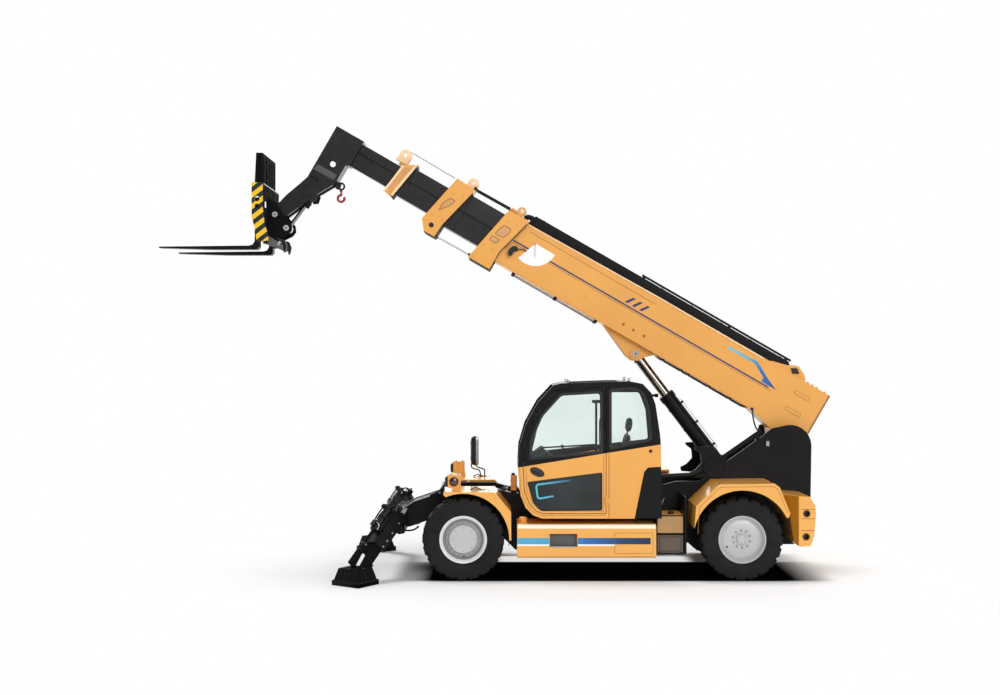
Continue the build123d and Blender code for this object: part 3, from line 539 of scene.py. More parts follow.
def add_rim(corner, centre, side, front):
    piece = Piece(f"rim_steel_{corner}", f"wheel_{corner}", "rim_paint", RIM)
    axis = Y * side
    piece.turned(RIM_WALL + (FRONT_DISC if front else REAR_DISC)[::-1] + RIM_LIP, centre, axis, 72)
    for profile, mat in FRONT_RINGS if front else ():
        piece.turned(profile, centre, axis, 72, mat)

    def on_disc(radius, angle, depth):
        return centre + Vector((radius * cos(angle), side * depth, radius * sin(angle)))

    for count, radius, turn, depth, size, height, mat in FRONT_BOLTS if front else REAR_BOLTS:
        for i in range(count):
            piece.bolt(on_disc(radius, 2 * pi * i / count + turn, depth), axis, size, height, mat)
    if front:
        piece.disc(on_disc(0.232, radians(-92), 0.109), axis, 0.011, 0.003, 16, BLACK)
    else:
        piece.disc(on_disc(0.215, radians(-28 if side > 0 else 208), 0.1275), axis, 0.013, 0.003, 16, BLACK)
    piece.tube([on_disc(0.272, radians(250), 0.13), on_disc(0.262, radians(250), 0.16)], 0.005, 8, STEEL)
    piece.done(replaces=[f"rim_{corner}"])


for corner in ("fl", "fr", "rl", "rr"):
    centre = middle(f"rim_{corner}")
    side = 1 if centre.y > 0 else -1
    add_tyre(corner, centre, side)
    add_rim(corner, centre, side, corner[0] == "f")

# ---- boom: stripes, flanges, collar plates, pipes ----
BASE_Y = 0.21
UNDER = BASE_Y - 0.001


def boom_piece(name, paint, body="boom_base", slot="orange_paint"):
    return Piece(name, body, slot, paint, boom)


decals = boom_piece("boom_stripes", BLUE, slot="hazard_paint")
decals.both([(0.64, 0.556), (4.7, 0.556), (4.69, 0.577), (0.655, 0.577)], UNDER, BASE_Y + 0.0015)
decals.both(rect(0.6, 4.7, 0.534, 0.541), UNDER, BASE_Y + 0.001, SEAM)
for outline in ([(1.4, 0.752), (0.975, 0.76), (0.955, 0.8), (1.4, 0.786)],
                [(0.975, 0.76), (0.775, 0.65), (0.715, 0.668), (0.955, 0.8)],
                [(0.775, 0.65), (0.775, 0.59), (0.54, 0.59), (0.715, 0.668)]):
    decals.both(outline, UNDER, BASE_Y + 0.0022, BENT_BAND)
for u in (2.905, 2.795, 2.68):
    decals.both([(u, 0.603), (u + 0.045, 0.603), (u - 0.031, 0.708), (u - 0.07, 0.708)], UNDER, BASE_Y + 0.0022)
# the fan of the boom angle scale on the left, and its hanging needle
decals.prism([(4.413, 0.682)] + arc(4.413, 0.682, 0.312, 181, 290, 18), UNDER, BASE_Y + 0.004, WHITE)
decals.done()

needle = boom_piece("angle_needle", STEEL, slot="cast_grey")
needle.line([(4.413, 0.665), (4.325, 0.512)], 0.009, BASE_Y + 0.004, BASE_Y + 0.009)
needle.disc((4.413, BASE_Y + 0.004, 0.665), Y, 0.014, 0.008, 16)
needle.done(0.001)

flanges = boom_piece("boom_flanges", ORANGE)
# the top flange in pale orange, a painted highlight
flanges.both([(0.9, 0.868), (2.6, 0.874), (4.62, 0.846), (4.62, 0.862), (2.6, 0.893), (0.9, 0.889)],
             BASE_Y - 0.002, BASE_Y + 0.012, PAINTED_HIGHLIGHT_ORANGE)
flanges.both(rect(0.76, 4.78, 0.19, 0.212), BASE_Y - 0.002, BASE_Y + 0.008)
# pressed ribs: a low rounded welt with its shaded edge
for n in (0.7, 0.447):
    welt = rounded(rect(0.075, 0.305, n - 0.022, n + 0.022), 0.02)
    for side in SIDES:
        flanges.frame(grown(welt, 0.006), welt, side * UNDER, side * (BASE_Y + 0.0015), SEAM)
        flanges.prism(welt, side * UNDER, side * (BASE_Y + 0.005))
flanges.both(rect(2.56, 4.56, 0.778, 0.785), UNDER, BASE_Y + 0.0008, SEAM)
for u in (2.81, 2.65, 2.485):
    flanges.discs(u, UNDER, 0.322, 0.02, 0.004, 20, SEAM)
pins = boom_piece("lift_pin_heads", STEEL, slot="cast_grey")
# bosses and pin heads of the lift ram's lug
for side in SIDES:
    flanges.turned([(0.046, 0), (0.072, 0), (0.072, 0.01), (0.066, 0.014), (0.046, 0.014)],
                   LIFT_PIN + Y * side * 0.124, Y * side)
    pins.disc(LIFT_PIN + Y * side * 0.123, Y * side, 0.045, 0.018)
    pins.disc(LIFT_PIN + Y * side * 0.141, Y * side, 0.013, 0.003, 16, CAP)
flanges.done(0.004)
pins.done(0.001)

lamp = boom_piece("boom_work_light", PLASTIC, slot="dark_plastic")
lamp.prism(rounded([(4.689, 0.414), (4.671, 0.48), (4.627, 0.513), (4.595, 0.5), (4.61, 0.428), (4.618, 0.36),
                    (4.66, 0.352)], 0.008), 0.222, 0.285, CAP)
lamp.prism([(4.6, 0.44), (4.64, 0.5), (4.61, 0.52), (4.57, 0.47)], BASE_Y - 0.002, 0.228)
lamp.prism([(4.693, 0.414), (4.697, 0.418), (4.668, 0.352), (4.662, 0.352)], 0.232, 0.275, LENS)
lamp.tube([(4.6, 0.25, 0.48), (4.52, 0.24, 0.52), (4.47, BASE_Y + 0.006, 0.52)], 0.008, 8)
lamp.done(0.004)


# doubler plates, pockets and screws of the three collars
def pocket(piece, outline, y, radius):
    """A shallow pocket in a side plate: its floor in painted shade, with the painted shade of its upper edge."""
    outline = rounded(outline, radius)
    for side in SIDES:
        piece.prism(outline, side * (y - 0.001), side * (y + 0.001), SHADED)
        piece.frame(outline, grown(outline, -0.01), side * (y - 0.001), side * (y + 0.0022), SEAM)


def mouth(piece, y, *lines):
    """Painted shade along the joints right round a collar."""
    for line in lines:
        piece.line(line, 0.009, -y, y, MOUTH)


collar = boom_piece("collar_1_plates", ORANGE)
pocket(collar, [(4.965, 0.505), (4.955, 0.59), (4.905, 0.69), (4.79, 0.68), (4.79, 0.6), (4.83, 0.52)], 0.26, 0.03)
pocket(collar, [(4.995, 0.4), (4.985, 0.48), (4.85, 0.48), (4.88, 0.4)], 0.26, 0.025)
for u, n in ((4.893, 0.755), (4.759, 0.769), (5.027, 0.314), (4.873, 0.307)):
    collar.discs(u, 0.259, n, 0.014, 0.005, 16, SHADED)
mouth(collar, 0.261, [(4.78, 0.05), (5.105, 0.05)], [(4.78, 0.052), (4.78, 0.338)], [(4.78, 0.338), (4.645, 0.85)])
collar.line([(4.745, 0.42), (4.635, 0.85)], 0.012, 0.2595, 0.2615, SEAM)
collar.done(0.002)

collar = boom_piece("collar_2_plates", ORANGE, body="stage_2")
pocket(collar, [(5.8, 0.4), (5.8, 0.52), (5.745, 0.64), (5.655, 0.64), (5.69, 0.54)], 0.215, 0.025)
for u, n in ((5.736, 0.702), (5.6, 0.74), (5.85, 0.32), (5.69, 0.33)):
    collar.discs(u, 0.214, n, 0.014, 0.005, 16, SHADED)
for side in SIDES:
    collar.turned([(0.036, 0), (0.05, 0), (0.05, 0.004), (0.036, 0.006)], (5.782, side * 0.214, 0.185), Y * side, 28)
collar.discs(5.782, 0.2145, 0.185, 0.035, 0.002, 28, CAP)
mouth(collar, 0.216, [(5.66, 0.06), (5.83, 0.06)], [(5.661, 0.062), (5.651, 0.255)], [(5.651, 0.255), (5.505, 0.85)])
collar.done(0.002)

collar = boom_piece("collar_3_plates", ORANGE, body="stage_3")
# the recessed web in painted shade, its ribs in a painted highlight, and the line across the collar's joint in painted
# shade
collar.both([(6.497, 0.32), (6.56, 0.33), (6.5, 0.69), (6.42, 0.73)], 0.169, 0.171, SHADED)
for side in SIDES:
    collar.line([(6.583, 0.272), (6.525, 0.7)], 0.03, side * 0.169, side * 0.19, PAINTED_HIGHLIGHT_ORANGE)
    collar.line([(6.463, 0.275), (6.372, 0.8)], 0.034, side * 0.169, side * 0.19, PAINTED_HIGHLIGHT_ORANGE)
    collar.bolt((6.5, side * 0.188, 0.305), Y * side, 0.01, 0.01, SHADED)
collar.both([(6.447, 0.262), (6.585, 0.288), (6.572, 0.33), (6.445, 0.315)], 0.169, 0.188)
collar.line([(6.455, 0.243), (6.352, 0.79)], 0.012, -0.171, 0.171, MOUTH)
collar.done(0.003)

# ---- chain wheels, rods and pipes ----
# the chain wheels' rims and the plates under them in pale orange, a painted highlight
wheel = boom_piece("sheave_1_pin", WHITE, slot="cast_grey")
for side in SIDES:
    wheel.disc((4.8, side * 0.0455, 0.984), Y * side, 0.0189, 0.006, 20)
    wheel.turned(rect(0.02268, 0.03906, 0, 0.006), (4.8, side * 0.0375, 0.984), Y * side, 24, PAINTED_HIGHLIGHT_ORANGE)
wheel.done(0.001)
for number, u, n, reach in ((2, 5.573, 0.98, 0.078), (3, 6.584, 0.85, 0.085)):
    wheel = boom_piece(f"sheave_{number}_pin", WHITE, body=f"stage_{number}", slot="cast_grey")
    for side in SIDES:
        wheel.turned([(0, 0), (reach - 0.008, 0), (reach, 0.006), (reach, 0.016), (reach - 0.012, 0.02), (0, 0.02)],
                     (u, side * 0.038, n), Y * side, 36, PAINTED_HIGHLIGHT_ORANGE)
        wheel.disc((u, side * 0.057, n), Y * side, reach * 0.3, 0.006, 20)
        wheel.prism([(u - 0.075, n - 0.02), (u + 0.072, n - 0.02), (u + 0.1, n - 0.115), (u - 0.08, n - 0.105)],
                    side * 0.039, side * 0.052, PAINTED_HIGHLIGHT_ORANGE)
    wheel.done(0.001)

rods = boom_piece("collar_2_rods", BLACK, body="stage_2", slot="black_steel")
cables = boom_piece("collar_3_cables", PIN, body="stage_3", slot="chrome")
sockets = boom_piece("collar_1_sockets", SHADED, slot="cast_grey")
pipes = boom_piece("boom_underside_pipes", BLACK, slot="black_steel")
for side in SIDES:
    y, low_y = side * 0.11, side * 0.143
    rods.tube([(4.955, y, 0.935), (5.53, y, 0.928)], 0.012)
    rods.disc((5.5, y, 0.928), BOOM_WAY, 0.03, 0.03, 6)
    rods.tube([(5.152, low_y, 0.098), (5.668, low_y, 0.092)], 0.0045, 8, STEEL)
    rods.disc((5.64, low_y, 0.092), BOOM_WAY, 0.018, 0.022, 6, CAP)
    cables.tube([(5.835, side * 0.04, 0.925), (6.48, side * 0.04, 0.93), (6.56, side * 0.04, 0.925)], 0.004, 8)
    sockets.tube([(4.845, y, 0.93), (4.945, y, 0.933)], 0.026, 14)
    sockets.tube([(5.098, low_y, 0.098), (5.148, low_y, 0.098)], 0.018, 10, CAP)
    y = side * 0.135
    pipes.tube([(4.48, y, 0.16), (3.15, y, 0.16)], 0.01, 10, STEEL)
    for u in (4.47, 3.8, 3.16):
        pipes.box(u - 0.022, u + 0.022, y - 0.018, y + 0.018, 0.144, 0.188)
# the bundle of hoses that leaves the tray at its front end
for y in (-0.075, -0.025, 0.025, 0.075):
    sockets.tube([(4.56, y, 0.975), (4.66, y, 0.972), (4.708, y, 0.945), (4.7, y, 0.905)], 0.03, 12, BLACK)
for y in (0.15, 0.11, -0.13):
    pipes.tube([(2.19, y, 0.186), (2.15, y, 0.172), (1.74, y, 0.172), (0.8, y, 0.172), (0.74, y, 0.19)], 0.007, 8,
               BLACK, False)
for u in (2.08, 1.79, 1.68, 1.35, 1.02, 0.8):
    pipes.box(u - 0.016, u + 0.016, -0.142, 0.16, 0.162, 0.188)
rods.done(0.001)
cables.done()
sockets.done(0.002)
pipes.done(0.002)

# the welded groove along each black section
for number, body, y, u0, u1, n in ((2, "stage_2", 0.16, 4.96, 5.56, 0.553), (3, "stage_3", 0.12, 5.74, 6.4, 0.548),
                                   (4, "boom_head", 0.082, 6.56, 7.17, 0.545)):
    groove = boom_piece(f"stage_{number}_groove", MATTE, body=body, slot="black_steel")
    groove.both(rect(u0, u1, n, n + 0.012), y - 0.001, y + 0.0012)
    groove.both(rect(u0, u1, n - 0.014, n), y - 0.001, y + 0.006, BOOM_BLACK)
    groove.done()

# folded lid over the hose tray, with its strips and rivets
lid = boom_piece("hose_tray_lid", BLACK, slot="black_steel")
for y0, y1 in ((0.092, 0.1485), (-0.092, -0.065)):
    lid.skin([[(u, y0, low), (u, y1, low), (u, y1, high - 0.003), (u, y1 - 0.003, high), (u, y0 + 0.003, high),
               (u, y0, high - 0.003)] for u, high, low in ((0.56, 1.02, 0.996), (2.7, 1.02, 0.989),
                                                           (4.6, 1.015, 0.982))])
for k in range(9):
    u = 0.7 + 0.47 * k
    top = (1.02 if u < 2.7 else 1.015) + 0.0025
    lid.box(u - 0.02, u + 0.02, -0.088, 0.144, 0.995, top, CAP)
    for y in (-0.078, 0.135):
        lid.bolt((u, y, top), BOOM_UP, 0.006, 0.004, STEEL)
lid.done(0.001)

# rear end of the boom: the tray's tail bracket and the tail plate's lip
tail = boom_piece("boom_tail", ORANGE)
cheek = [(0.815, 0.888), (0.782, 0.912), (0.56, 0.968), (0.462, 1.024), (0.415, 1.03), (0.3, 0.975), (0.25, 0.92),
         (0.24, 0.888)]
tail.prism(cheek, 0.151, 0.163)
tail.prism(cheek, -0.132, -0.12)
# the catch on its near cheek
tail.prism([(0.505, 0.955), (0.432, 0.998), (0.366, 0.945), (0.448, 0.902)], 0.162, 0.178, CAP)
tail.prism([(0.47, 0.888), (0.475, 0.93), (0.44, 0.975), (0.38, 0.96), (0.375, 0.888)], -0.119, 0.119, CAP)
for u in (0.19, 0.12, 0.05, -0.08):
    tail.bolt((u, 0.12, 0.889), BOOM_UP, 0.018, 0.026)
# the tail plate's lip drawn darker, a painted shade
tail.both(rect(-0.147, -0.13, 0.285, 0.888), BASE_Y - 0.002, BASE_Y + 0.01, SEAM)
tail.done(0.003)
hose = Piece("boom_tail_hose", "boom_base", "black_steel", CAP)
hose.tube([(-3.945, 0.222, 2.195), (-3.955, 0.262, 2.06), (-3.985, 0.268, 1.95), (-4.035, 0.262, 1.88)], 0.011, 10)
hose.turned(rect(0, 0.02, -0.012, 0.012), (-3.945, 0.224, 2.195), Y, 16)
hose.done(0.001)

# the front ends of the two moving sections reach into their collars
for number, bottom, top, half, wall, u0, u1 in ((2, 0.257, 0.824, 0.16, 0.022, 5.48, 5.668),
                                                (3, 0.303, 0.752, 0.12, 0.02, 6.335, 6.47)):
    sleeve = boom_piece(f"stage_{number}_sleeve", BOOM_BLACK, body=f"stage_{number}", slot="black_steel")
    corners = rect(-half, half, bottom, top)
    verts = [boom(u, y, n) for u in (u0, u1) for line in (corners, grown(corners, -wall)) for y, n in line]
    faces = []
    for k in range(4):
        m = (k + 1) % 4
        faces += [(k, m, 8 + m, 8 + k), (4 + k, 12 + k, 12 + m, 4 + m), (k, 4 + k, 4 + m, m),
                  (8 + k, 8 + m, 12 + m, 12 + k)]
    sleeve.add(verts, faces)
    sleeve.done(0.004)

# ---- side boxes, tanks and what stands on them ----
BOX_FRONT, BOX_REAR, BOX_LOW, BOX_TOP, BOX_OUT, BOX_IN = -0.704, -2.518, 0.294, 0.734, 1.15, 0.525
BOX_FACE = 1.1495


def box_loop(x, side, notch):
    """A side box's section seen from behind: a large soft edge on top, and a recess where notch is set."""
    depth = BOX_OUT - notch
    points = [(BOX_IN, BOX_LOW), (BOX_OUT - 0.02, BOX_LOW), (BOX_OUT, BOX_LOW + 0.02), (BOX_OUT, 0.435), (depth, 0.435),
              (depth, 0.609), (BOX_OUT, 0.609), (BOX_OUT, BOX_TOP - 0.06), (BOX_OUT - 0.005, BOX_TOP - 0.032),
              (BOX_OUT - 0.018, BOX_TOP - 0.012), (BOX_OUT - 0.045, BOX_TOP), (BOX_IN, BOX_TOP)]
    return [(x, side * y, z) for y, z in points]


boxes = Piece("side_box_shells", "chassis", "orange_paint", FENDER_ORANGE)
for side, stations in ((1, [(BOX_REAR, 0), (-1.49, 0), (-1.49, 0.085), (-1.126, 0.085), (-1.126, 0), (BOX_FRONT, 0)]),
                       (-1, [(BOX_REAR, 0), (BOX_FRONT, 0)])):
    boxes.skin([box_loop(x, side, notch) for x, notch in stations])
boxes.disc((-0.785, 0.9, 0.73), Z, 0.055, 0.072, 28)
boxes.disc((-0.785, 0.9, 0.76), Z, 0.065, 0.014, 28)
# the recess's walls meet the flat face: points that meet are joined, and faces with no area dropped
bmesh.ops.remove_doubles(boxes.bm, verts=boxes.bm.verts, dist=0.0001)
bmesh.ops.dissolve_degenerate(boxes.bm, dist=0.0001, edges=boxes.bm.edges)
boxes.done(0.006, replaces=["side_boxes"])


def seam_frame(piece, outline, y0, y1):
    piece.frame(rounded(grown(outline, 0.002), 0.025), rounded(grown(outline, -0.003), 0.022), y0, y1, SEAM)


trims = Piece("side_box_trims", "chassis", "orange_paint", STRIPE)
for x0, x1, z0, z1, mat in ((-1.122, -0.706, 0.473, 0.556, STRIPE), (-2.445, -1.494, 0.473, 0.556, STRIPE),
                            (-1.122, -0.706, 0.452, 0.473, WHITE), (-1.98, -1.494, 0.452, 0.473, WHITE)):
    trims.box(x0, x1, BOX_FACE, 1.1512, z0, z1, mat)
seam_frame(trims, [(-1.975, 0.352), (-2.475, 0.352), (-2.475, 0.622), (-1.975, 0.622)], BOX_FACE, 1.1514)
# a painted highlight along the soft edge on top: how far in from the face, and down from the top
EDGE = [(0.0005, 0.056), (0.0052, 0.032), (0.018, 0.0125), (0.032, 0.0055), (0.0315, 0.0042), (0.0165, 0.0108),
        (0.0035, 0.0315), (-0.0012, 0.056)]
for side in SIDES:
    trims.skin([[(x, side * (BOX_OUT - inward), BOX_TOP - down) for inward, down in EDGE]
                for x in (BOX_REAR + 0.01, BOX_FRONT - 0.01)], GLINT)
# step tread in the recess, with its bright lower lip
trims.box(-1.482, -1.134, 1.068, 1.072, 0.445, 0.6, GREY)
trims.box(-1.486, -1.13, 1.07, 1.152, 0.432, 0.446, STEEL)
for i in range(9):
    trims.box(-1.472 + 0.038 * i, -1.452 + 0.038 * i, 1.072, 1.0745, 0.455, 0.59, GREY)
# the seam on top
trims.place = lambda x, z, y: at(x, y, z)
trims.line([(-1.64, 0.655), (-1.7, 0.905), (-2.36, 0.905)], 0.006, 0.7335, 0.735, SEAM)
trims.done(0.001, 1)
right = Piece("right_box_panels", "chassis", "orange_paint", STRIPE)
right.box(-2.445, -0.76, -1.1512, -BOX_FACE, 0.473, 0.556)
right.box(-2.445, -0.76, -1.1512, -BOX_FACE, 0.452, 0.473, WHITE)
for x0, x1 in ((-0.78, -1.56), (-1.6, -2.44)):
    seam_frame(right, rect(x0, x1, 0.335, 0.64), -1.1514, -BOX_FACE)
    right.disc((x1 + 0.06, -BOX_FACE, 0.6), -Y, 0.022, 0.01, 20, CAP)
right.done(0.001, 1)

tanks = Piece("tank_fittings", "chassis", "black_steel", BLACK)
for side in SIDES:
    y0, y1 = side * 0.94, side * 0.962
    # two wide covers in painted shade, orange above and darker below, with black bars between and beside them
    for z0, z1, mat in ((0.596, 0.812, TANK_ORANGE_PAINTED_SHADE), (0.334, 0.562, TANK_SHADE)):
        tanks.prism(rounded(rect(-2.896, -2.552, z0, z1), 0.012), y0, y1, mat)
    outer = rect(-2.905, -2.545, 0.322, 0.828)
    tanks.frame(outer, grown(outer, -0.012), y0, y1)
    tanks.box(-2.9, -2.55, y0, y1, 0.566, 0.592)
    rib = rounded(rect(-2.868, -2.58, 0.352, 0.545), 0.008)
    tanks.frame(rib, grown(rib, -0.006), side * 0.961, side * 0.9635)
    tanks.box(-2.905, -2.545, side * 0.6, y1, 0.306, 0.322)
    tanks.disc((-2.75, side * 0.82, 0.829), Z, 0.04, 0.035, 24, CAP)
    for x in (-2.87, -2.58):
        tanks.bolt((x, y1, 0.34), Y * side, 0.007, 0.007)
tanks.done(0.002)

# reservoir at the cab's front: an orange shell over the black box, with a black cap
tank = Piece("front_reservoir", "chassis", "orange_paint", ORANGE)
shell = rounded([(-0.625, 0.445), (-0.625, 0.33), (-0.71, 0.33), (-0.71, 0.445)], 0.02)
tank.skin([[(x, y, z) for x, y in shell] for z in (1.1, 1.288, 1.303)])
tank.disc((-0.66, 0.39, 1.3), Z, 0.026, 0.034, 24, CAP, 0.3)
for z in (1.15, 1.23):
    tank.frame(rounded([(-0.621, z), (-0.621, z + 0.006), (-0.714, z + 0.006), (-0.714, z)], 0.001, 1),
               rounded([(-0.625, z + 0.001), (-0.625, z + 0.005), (-0.71, z + 0.005), (-0.71, z + 0.001)], 0.001, 1),
               0.327, 0.448, SEAM)
tank.done(0.003)

# ---- cab ----
CAB_SIDE, CAB_BACK = 1.1, 0.3
DOOR_WINDOW = [(-0.897, 1.84), (-1.03, 2.145), (-1.28, 2.42), (-1.797, 2.449), (-1.806, 1.678), (-0.88, 1.595)]
LOWER_WINDOW = [(-0.838, 1.278), (-1.814, 1.402), (-1.814, 0.911), (-1.014, 0.903), (-0.914, 1.011)]
SIDE_WINDOW = [(-1.931, 2.479), (-2.248, 2.496), (-2.348, 2.429), (-2.415, 2.245), (-2.449, 1.844), (-1.931, 1.728)]
RIGHT_WINDOW = [(-0.9, 1.6), (-1.03, 2.145), (-1.28, 2.44), (-2.39, 2.44), (-2.48, 2.2), (-2.515, 1.78)]


def gaskets(name, body, *windows):
    """A rubber frame with rounded corners over each window's edge, and the thin step of its pane."""
    seals = Piece(name, body, "dark_plastic", SEAL)
    for window, y, out in windows:
        seals.frame(rounded(grown(window, 0.024), 0.05, 5), rounded(grown(window, -0.004), 0.04, 5), y - out * 0.012,
                    y + out * 0.005)
        seals.frame(rounded(grown(window, 0.002), 0.04, 5), rounded(grown(window, -0.012), 0.04, 5), y - out * 0.016,
                    y - out * 0.004, PLASTIC)
    seals.done(0.0025, 1)


gaskets("cab_seals", "chassis", (SIDE_WINDOW, CAB_SIDE, 1), (RIGHT_WINDOW, CAB_BACK, -1))
gaskets("door_seals", "door", (DOOR_WINDOW, CAB_SIDE, 1))

film = Piece("door_lower_pane", "door", "dark_glass", FILM)
film.prism(rounded(LOWER_WINDOW, 0.03), 1.0805, 1.0835)
film.done(0.001, 1)
decal = Piece("door_bracket_line", "door", "orange_paint", BRACKET)
decal.line(smooth_path([(-1.4, 1.3), (-1.28, 1.285), (-1.0, 1.248), (-0.965, 1.235), (-0.957, 1.205), (-0.972, 1.095),
                        (-0.987, 1.068), (-1.02, 1.066), (-1.1, 1.08), (-1.18, 1.094)], 4), 0.024, 1.0836, 1.085)
decal.done()
rim_line = Piece("door_pane_edge", "door", "dark_plastic", SEAL)
rim_line.frame(rounded(grown(LOWER_WINDOW, 0.004), 0.03), rounded(grown(LOWER_WINDOW, -0.007), 0.03), 1.08, 1.1015)
rim_line.done(0.001, 1)


def oval(cx, cz, a, b, tilt=radians(24), steps=28):
    points = [(a * cos(2 * pi * i / steps), b * sin(2 * pi * i / steps)) for i in range(steps)]
    return [(cx + u * cos(tilt) - w * sin(tilt), cz + u * sin(tilt) + w * cos(tilt)) for u, w in points]


latch = Piece("door_handle", "door", "dark_plastic", CAP)
latch.frame(oval(-0.967, 1.41, 0.1, 0.054), oval(-0.967, 1.41, 0.088, 0.043), 1.099, 1.108)
latch.prism(oval(-0.967, 1.41, 0.089, 0.044), 1.097, 1.1015, PLASTIC)
latch.prism(oval(-0.958, 1.404, 0.07, 0.016), 1.101, 1.112)
latch.disc((-0.905, 1.102, 1.425), Y, 0.013, 0.006, 16, PLASTIC)
latch.done(0.002)

seams = Piece("door_seams", "door", "orange_paint", SEAM)
seams.line([(-1.836, 1.64), (-1.836, 0.9), (-1.052, 0.9), (-0.972, 0.932), (-0.895, 1.02), (-0.835, 1.16),
            (-0.818, 1.47)],
           0.006, 1.0995, 1.1012)
seams.done()
seams = Piece("cab_seams", "chassis", "orange_paint", SEAM)
seams.line([(-1.905, 1.65), (-1.905, 0.815)], 0.008, 1.0995, 1.1012)
seams.line([(-1.918, 1.65), (-1.918, 0.815)], 0.01, 1.099, 1.103, ORANGE)
seams.line([(-2.585, 1.5), (-2.42, 1.485), (-2.352, 1.418), (-2.222, 0.815)], 0.012, 1.099, 1.1035, ORANGE)
seams.line([(-0.735, 1.47), (-0.752, 1.2), (-0.8, 1.04), (-0.89, 0.905), (-1.0, 0.845), (-1.864, 0.842)], 0.005, 1.0995,
           1.1012)
seams.done()

roof = Piece("cab_fittings", "chassis", "dark_plastic", BLACK)
for x, z in ((-1.379, 2.57), (-2.172, 2.6)):
    for y in (1.03, 0.37):
        roof.disc((x, y, z - 0.012), Z, 0.016, 0.012, 16)
        roof.ring((x, y, z + 0.022), Y + X * 0.4, 0.017, 0.0045)
roof.box(-2.52, -2.47, 0.96, 1.04, 2.395, 2.425)
roof.box(-2.56, -2.52, 0.975, 1.025, 2.385, 2.432)
roof.disc((-2.45, 1.099, 1.686), Y, 0.021, 0.016, 20, CAP)
roof.disc((-2.45, 1.115, 1.686), Y, 0.013, 0.005, 20, CAP)
# wiper on the windscreen's side
roof.tube([(-0.74, 0.7, 1.56), (-0.775, 0.7, 1.85), (-0.87, 0.705, 2.12)], 0.006, 8)
roof.box(-0.8, -0.735, 0.66, 0.74, 1.515, 1.575)
roof.done(0.002)

# dash, grab rails, levers and pedal
inside = Piece("cab_controls", "chassis", "dark_plastic", PLASTIC)
inside.prism(rounded([(-0.868, 1.56), (-0.88, 1.612), (-1.03, 1.722), (-1.062, 1.712), (-1.1, 1.575), (-1.06, 1.5)],
                     0.012), 0.58, 0.86)
inside.prism([(-1.04, 1.705), (-1.056, 1.7), (-1.09, 1.59), (-1.075, 1.59)], 0.6, 0.84, CAP)
inside.prism(rounded([(-1.69, 2.31), (-1.69, 2.35), (-1.835, 2.35), (-1.835, 2.31)], 0.012), 0.96, 1.04, CAP)
for path, radius, sides in (
        ([(-1.03, 1.0, 1.722), (-1.38, 1.005, 1.742), (-1.745, 1.01, 1.765)], 0.011, 10),
        ([(-1.03, 1.0, 1.722), (-0.985, 1.0, 1.64), (-0.96, 1.0, 1.5)], 0.011, 10),
        ([(-1.745, 1.0, 1.64), (-1.745, 1.0, 2.335)], 0.015, 12),
        ([(-1.7, 1.0, 1.64), (-1.775, 1.02, 1.64), (-1.8, 1.025, 1.56)], 0.015, 10),
        ([(-1.792, 1.01, 1.64), (-1.79, 1.01, 2.07), (-1.825, 1.02, 2.13), (-1.83, 1.03, 2.25)], 0.008, 8),
        ([(-1.33, 0.43, 1.69), (-1.385, 0.43, 1.56), (-1.42, 0.43, 1.33)], 0.01, 10)):
    inside.tube(path, radius, sides, BLACK)
inside.turned([(0, 0.024), (0.014, 0.02), (0.02, 0.004), (0.018, -0.014), (0.008, -0.024), (0, -0.024)],
              (-1.325, 0.43, 1.7), (0.25, 0, 1), 20, CAP)
inside.disc((-1.425, 0.43, 1.322), Z, 0.04, 0.03, 20, CAP, 0.5)
inside.box(-2.12, -1.56, 0.385, 0.465, 1.33, 1.345)
inside.tube([(-1.01, 0.62, 1.0), (-1.09, 0.62, 0.92)], 0.01, 8, STEEL)
inside.box(-1.14, -1.05, 0.57, 0.66, 0.905, 0.917)
inside.done(0.003)

backing = Piece("door_gap_backing", "chassis", "dark_plastic", SEAL)
backing.box(-1.888, -1.848, 1.03, 1.046, 1.56, 2.5)
backing.done(0.001)

# ---- engine hood: seams, latches, hinges, intake; and plain fittings low on the frame ----
hood = Piece("hood_fittings", "hood", "dark_plastic", PLASTIC)
side_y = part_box("engine_hood")[0].y
for x in (-2.3, -1.35):
    hood.prism(rounded(rect(x - 0.055, x + 0.055, 0.885, 0.96), 0.012), side_y - 0.008, side_y + 0.002)
    hood.prism(rounded(rect(x - 0.035, x + 0.035, 0.905, 0.925), 0.006), side_y - 0.02, side_y - 0.006, CAP)
    hood.bolt((x + 0.04, side_y - 0.008, 0.945), -Y, 0.006, 0.006, STEEL)
panel = rounded(rect(-2.85, -0.81, 0.86, 1.085), 0.03)
hood.frame(panel, grown(panel, -0.005), side_y - 0.0012, side_y + 0.001, SEAM)
for x in (-2.4, -1.1):
    hood.box(x - 0.05, x + 0.05, -0.6, -0.48, 1.299, 1.306, ORANGE)
    for y in (-0.58, -0.51):
        hood.bolt((x - 0.03, y, 1.306), Z, 0.008, 0.008, STEEL)
        hood.bolt((x + 0.03, y, 1.306), Z, 0.008, 0.008, STEEL)
hood.turned([(0, 0), (0.075, 0), (0.075, 0.02), (0.06, 0.028), (0.06, 0.05), (0.082, 0.058), (0.082, 0.08),
             (0.06, 0.092),
             (0, 0.092)], (-2.6, -0.62, 1.299), Z, 36, CAP)
hood.done(0.002)

under = Piece("frame_fittings", "chassis", "black_steel", BLACK)
for side in SIDES:
    # tie-down eyes on the rails and the front axle's grease lines
    for x in (-1.15, -2.15):
        under.ring((x, side * 0.452, 0.33), X, 0.03, 0.008)
    under.tube([(-0.3, side * 0.456, 0.62), (-0.62, side * 0.458, 0.56), (-1.1, side * 0.458, 0.54),
                (-2.3, side * 0.458, 0.54), (-3.05, side * 0.458, 0.6)], 0.01, 8, SEAL, False)
    for x in (-0.7, -1.3, -1.9, -2.5):
        under.box(x - 0.015, x + 0.015, side * 0.45, side * 0.472, 0.52, 0.56)
under.done(0.002)

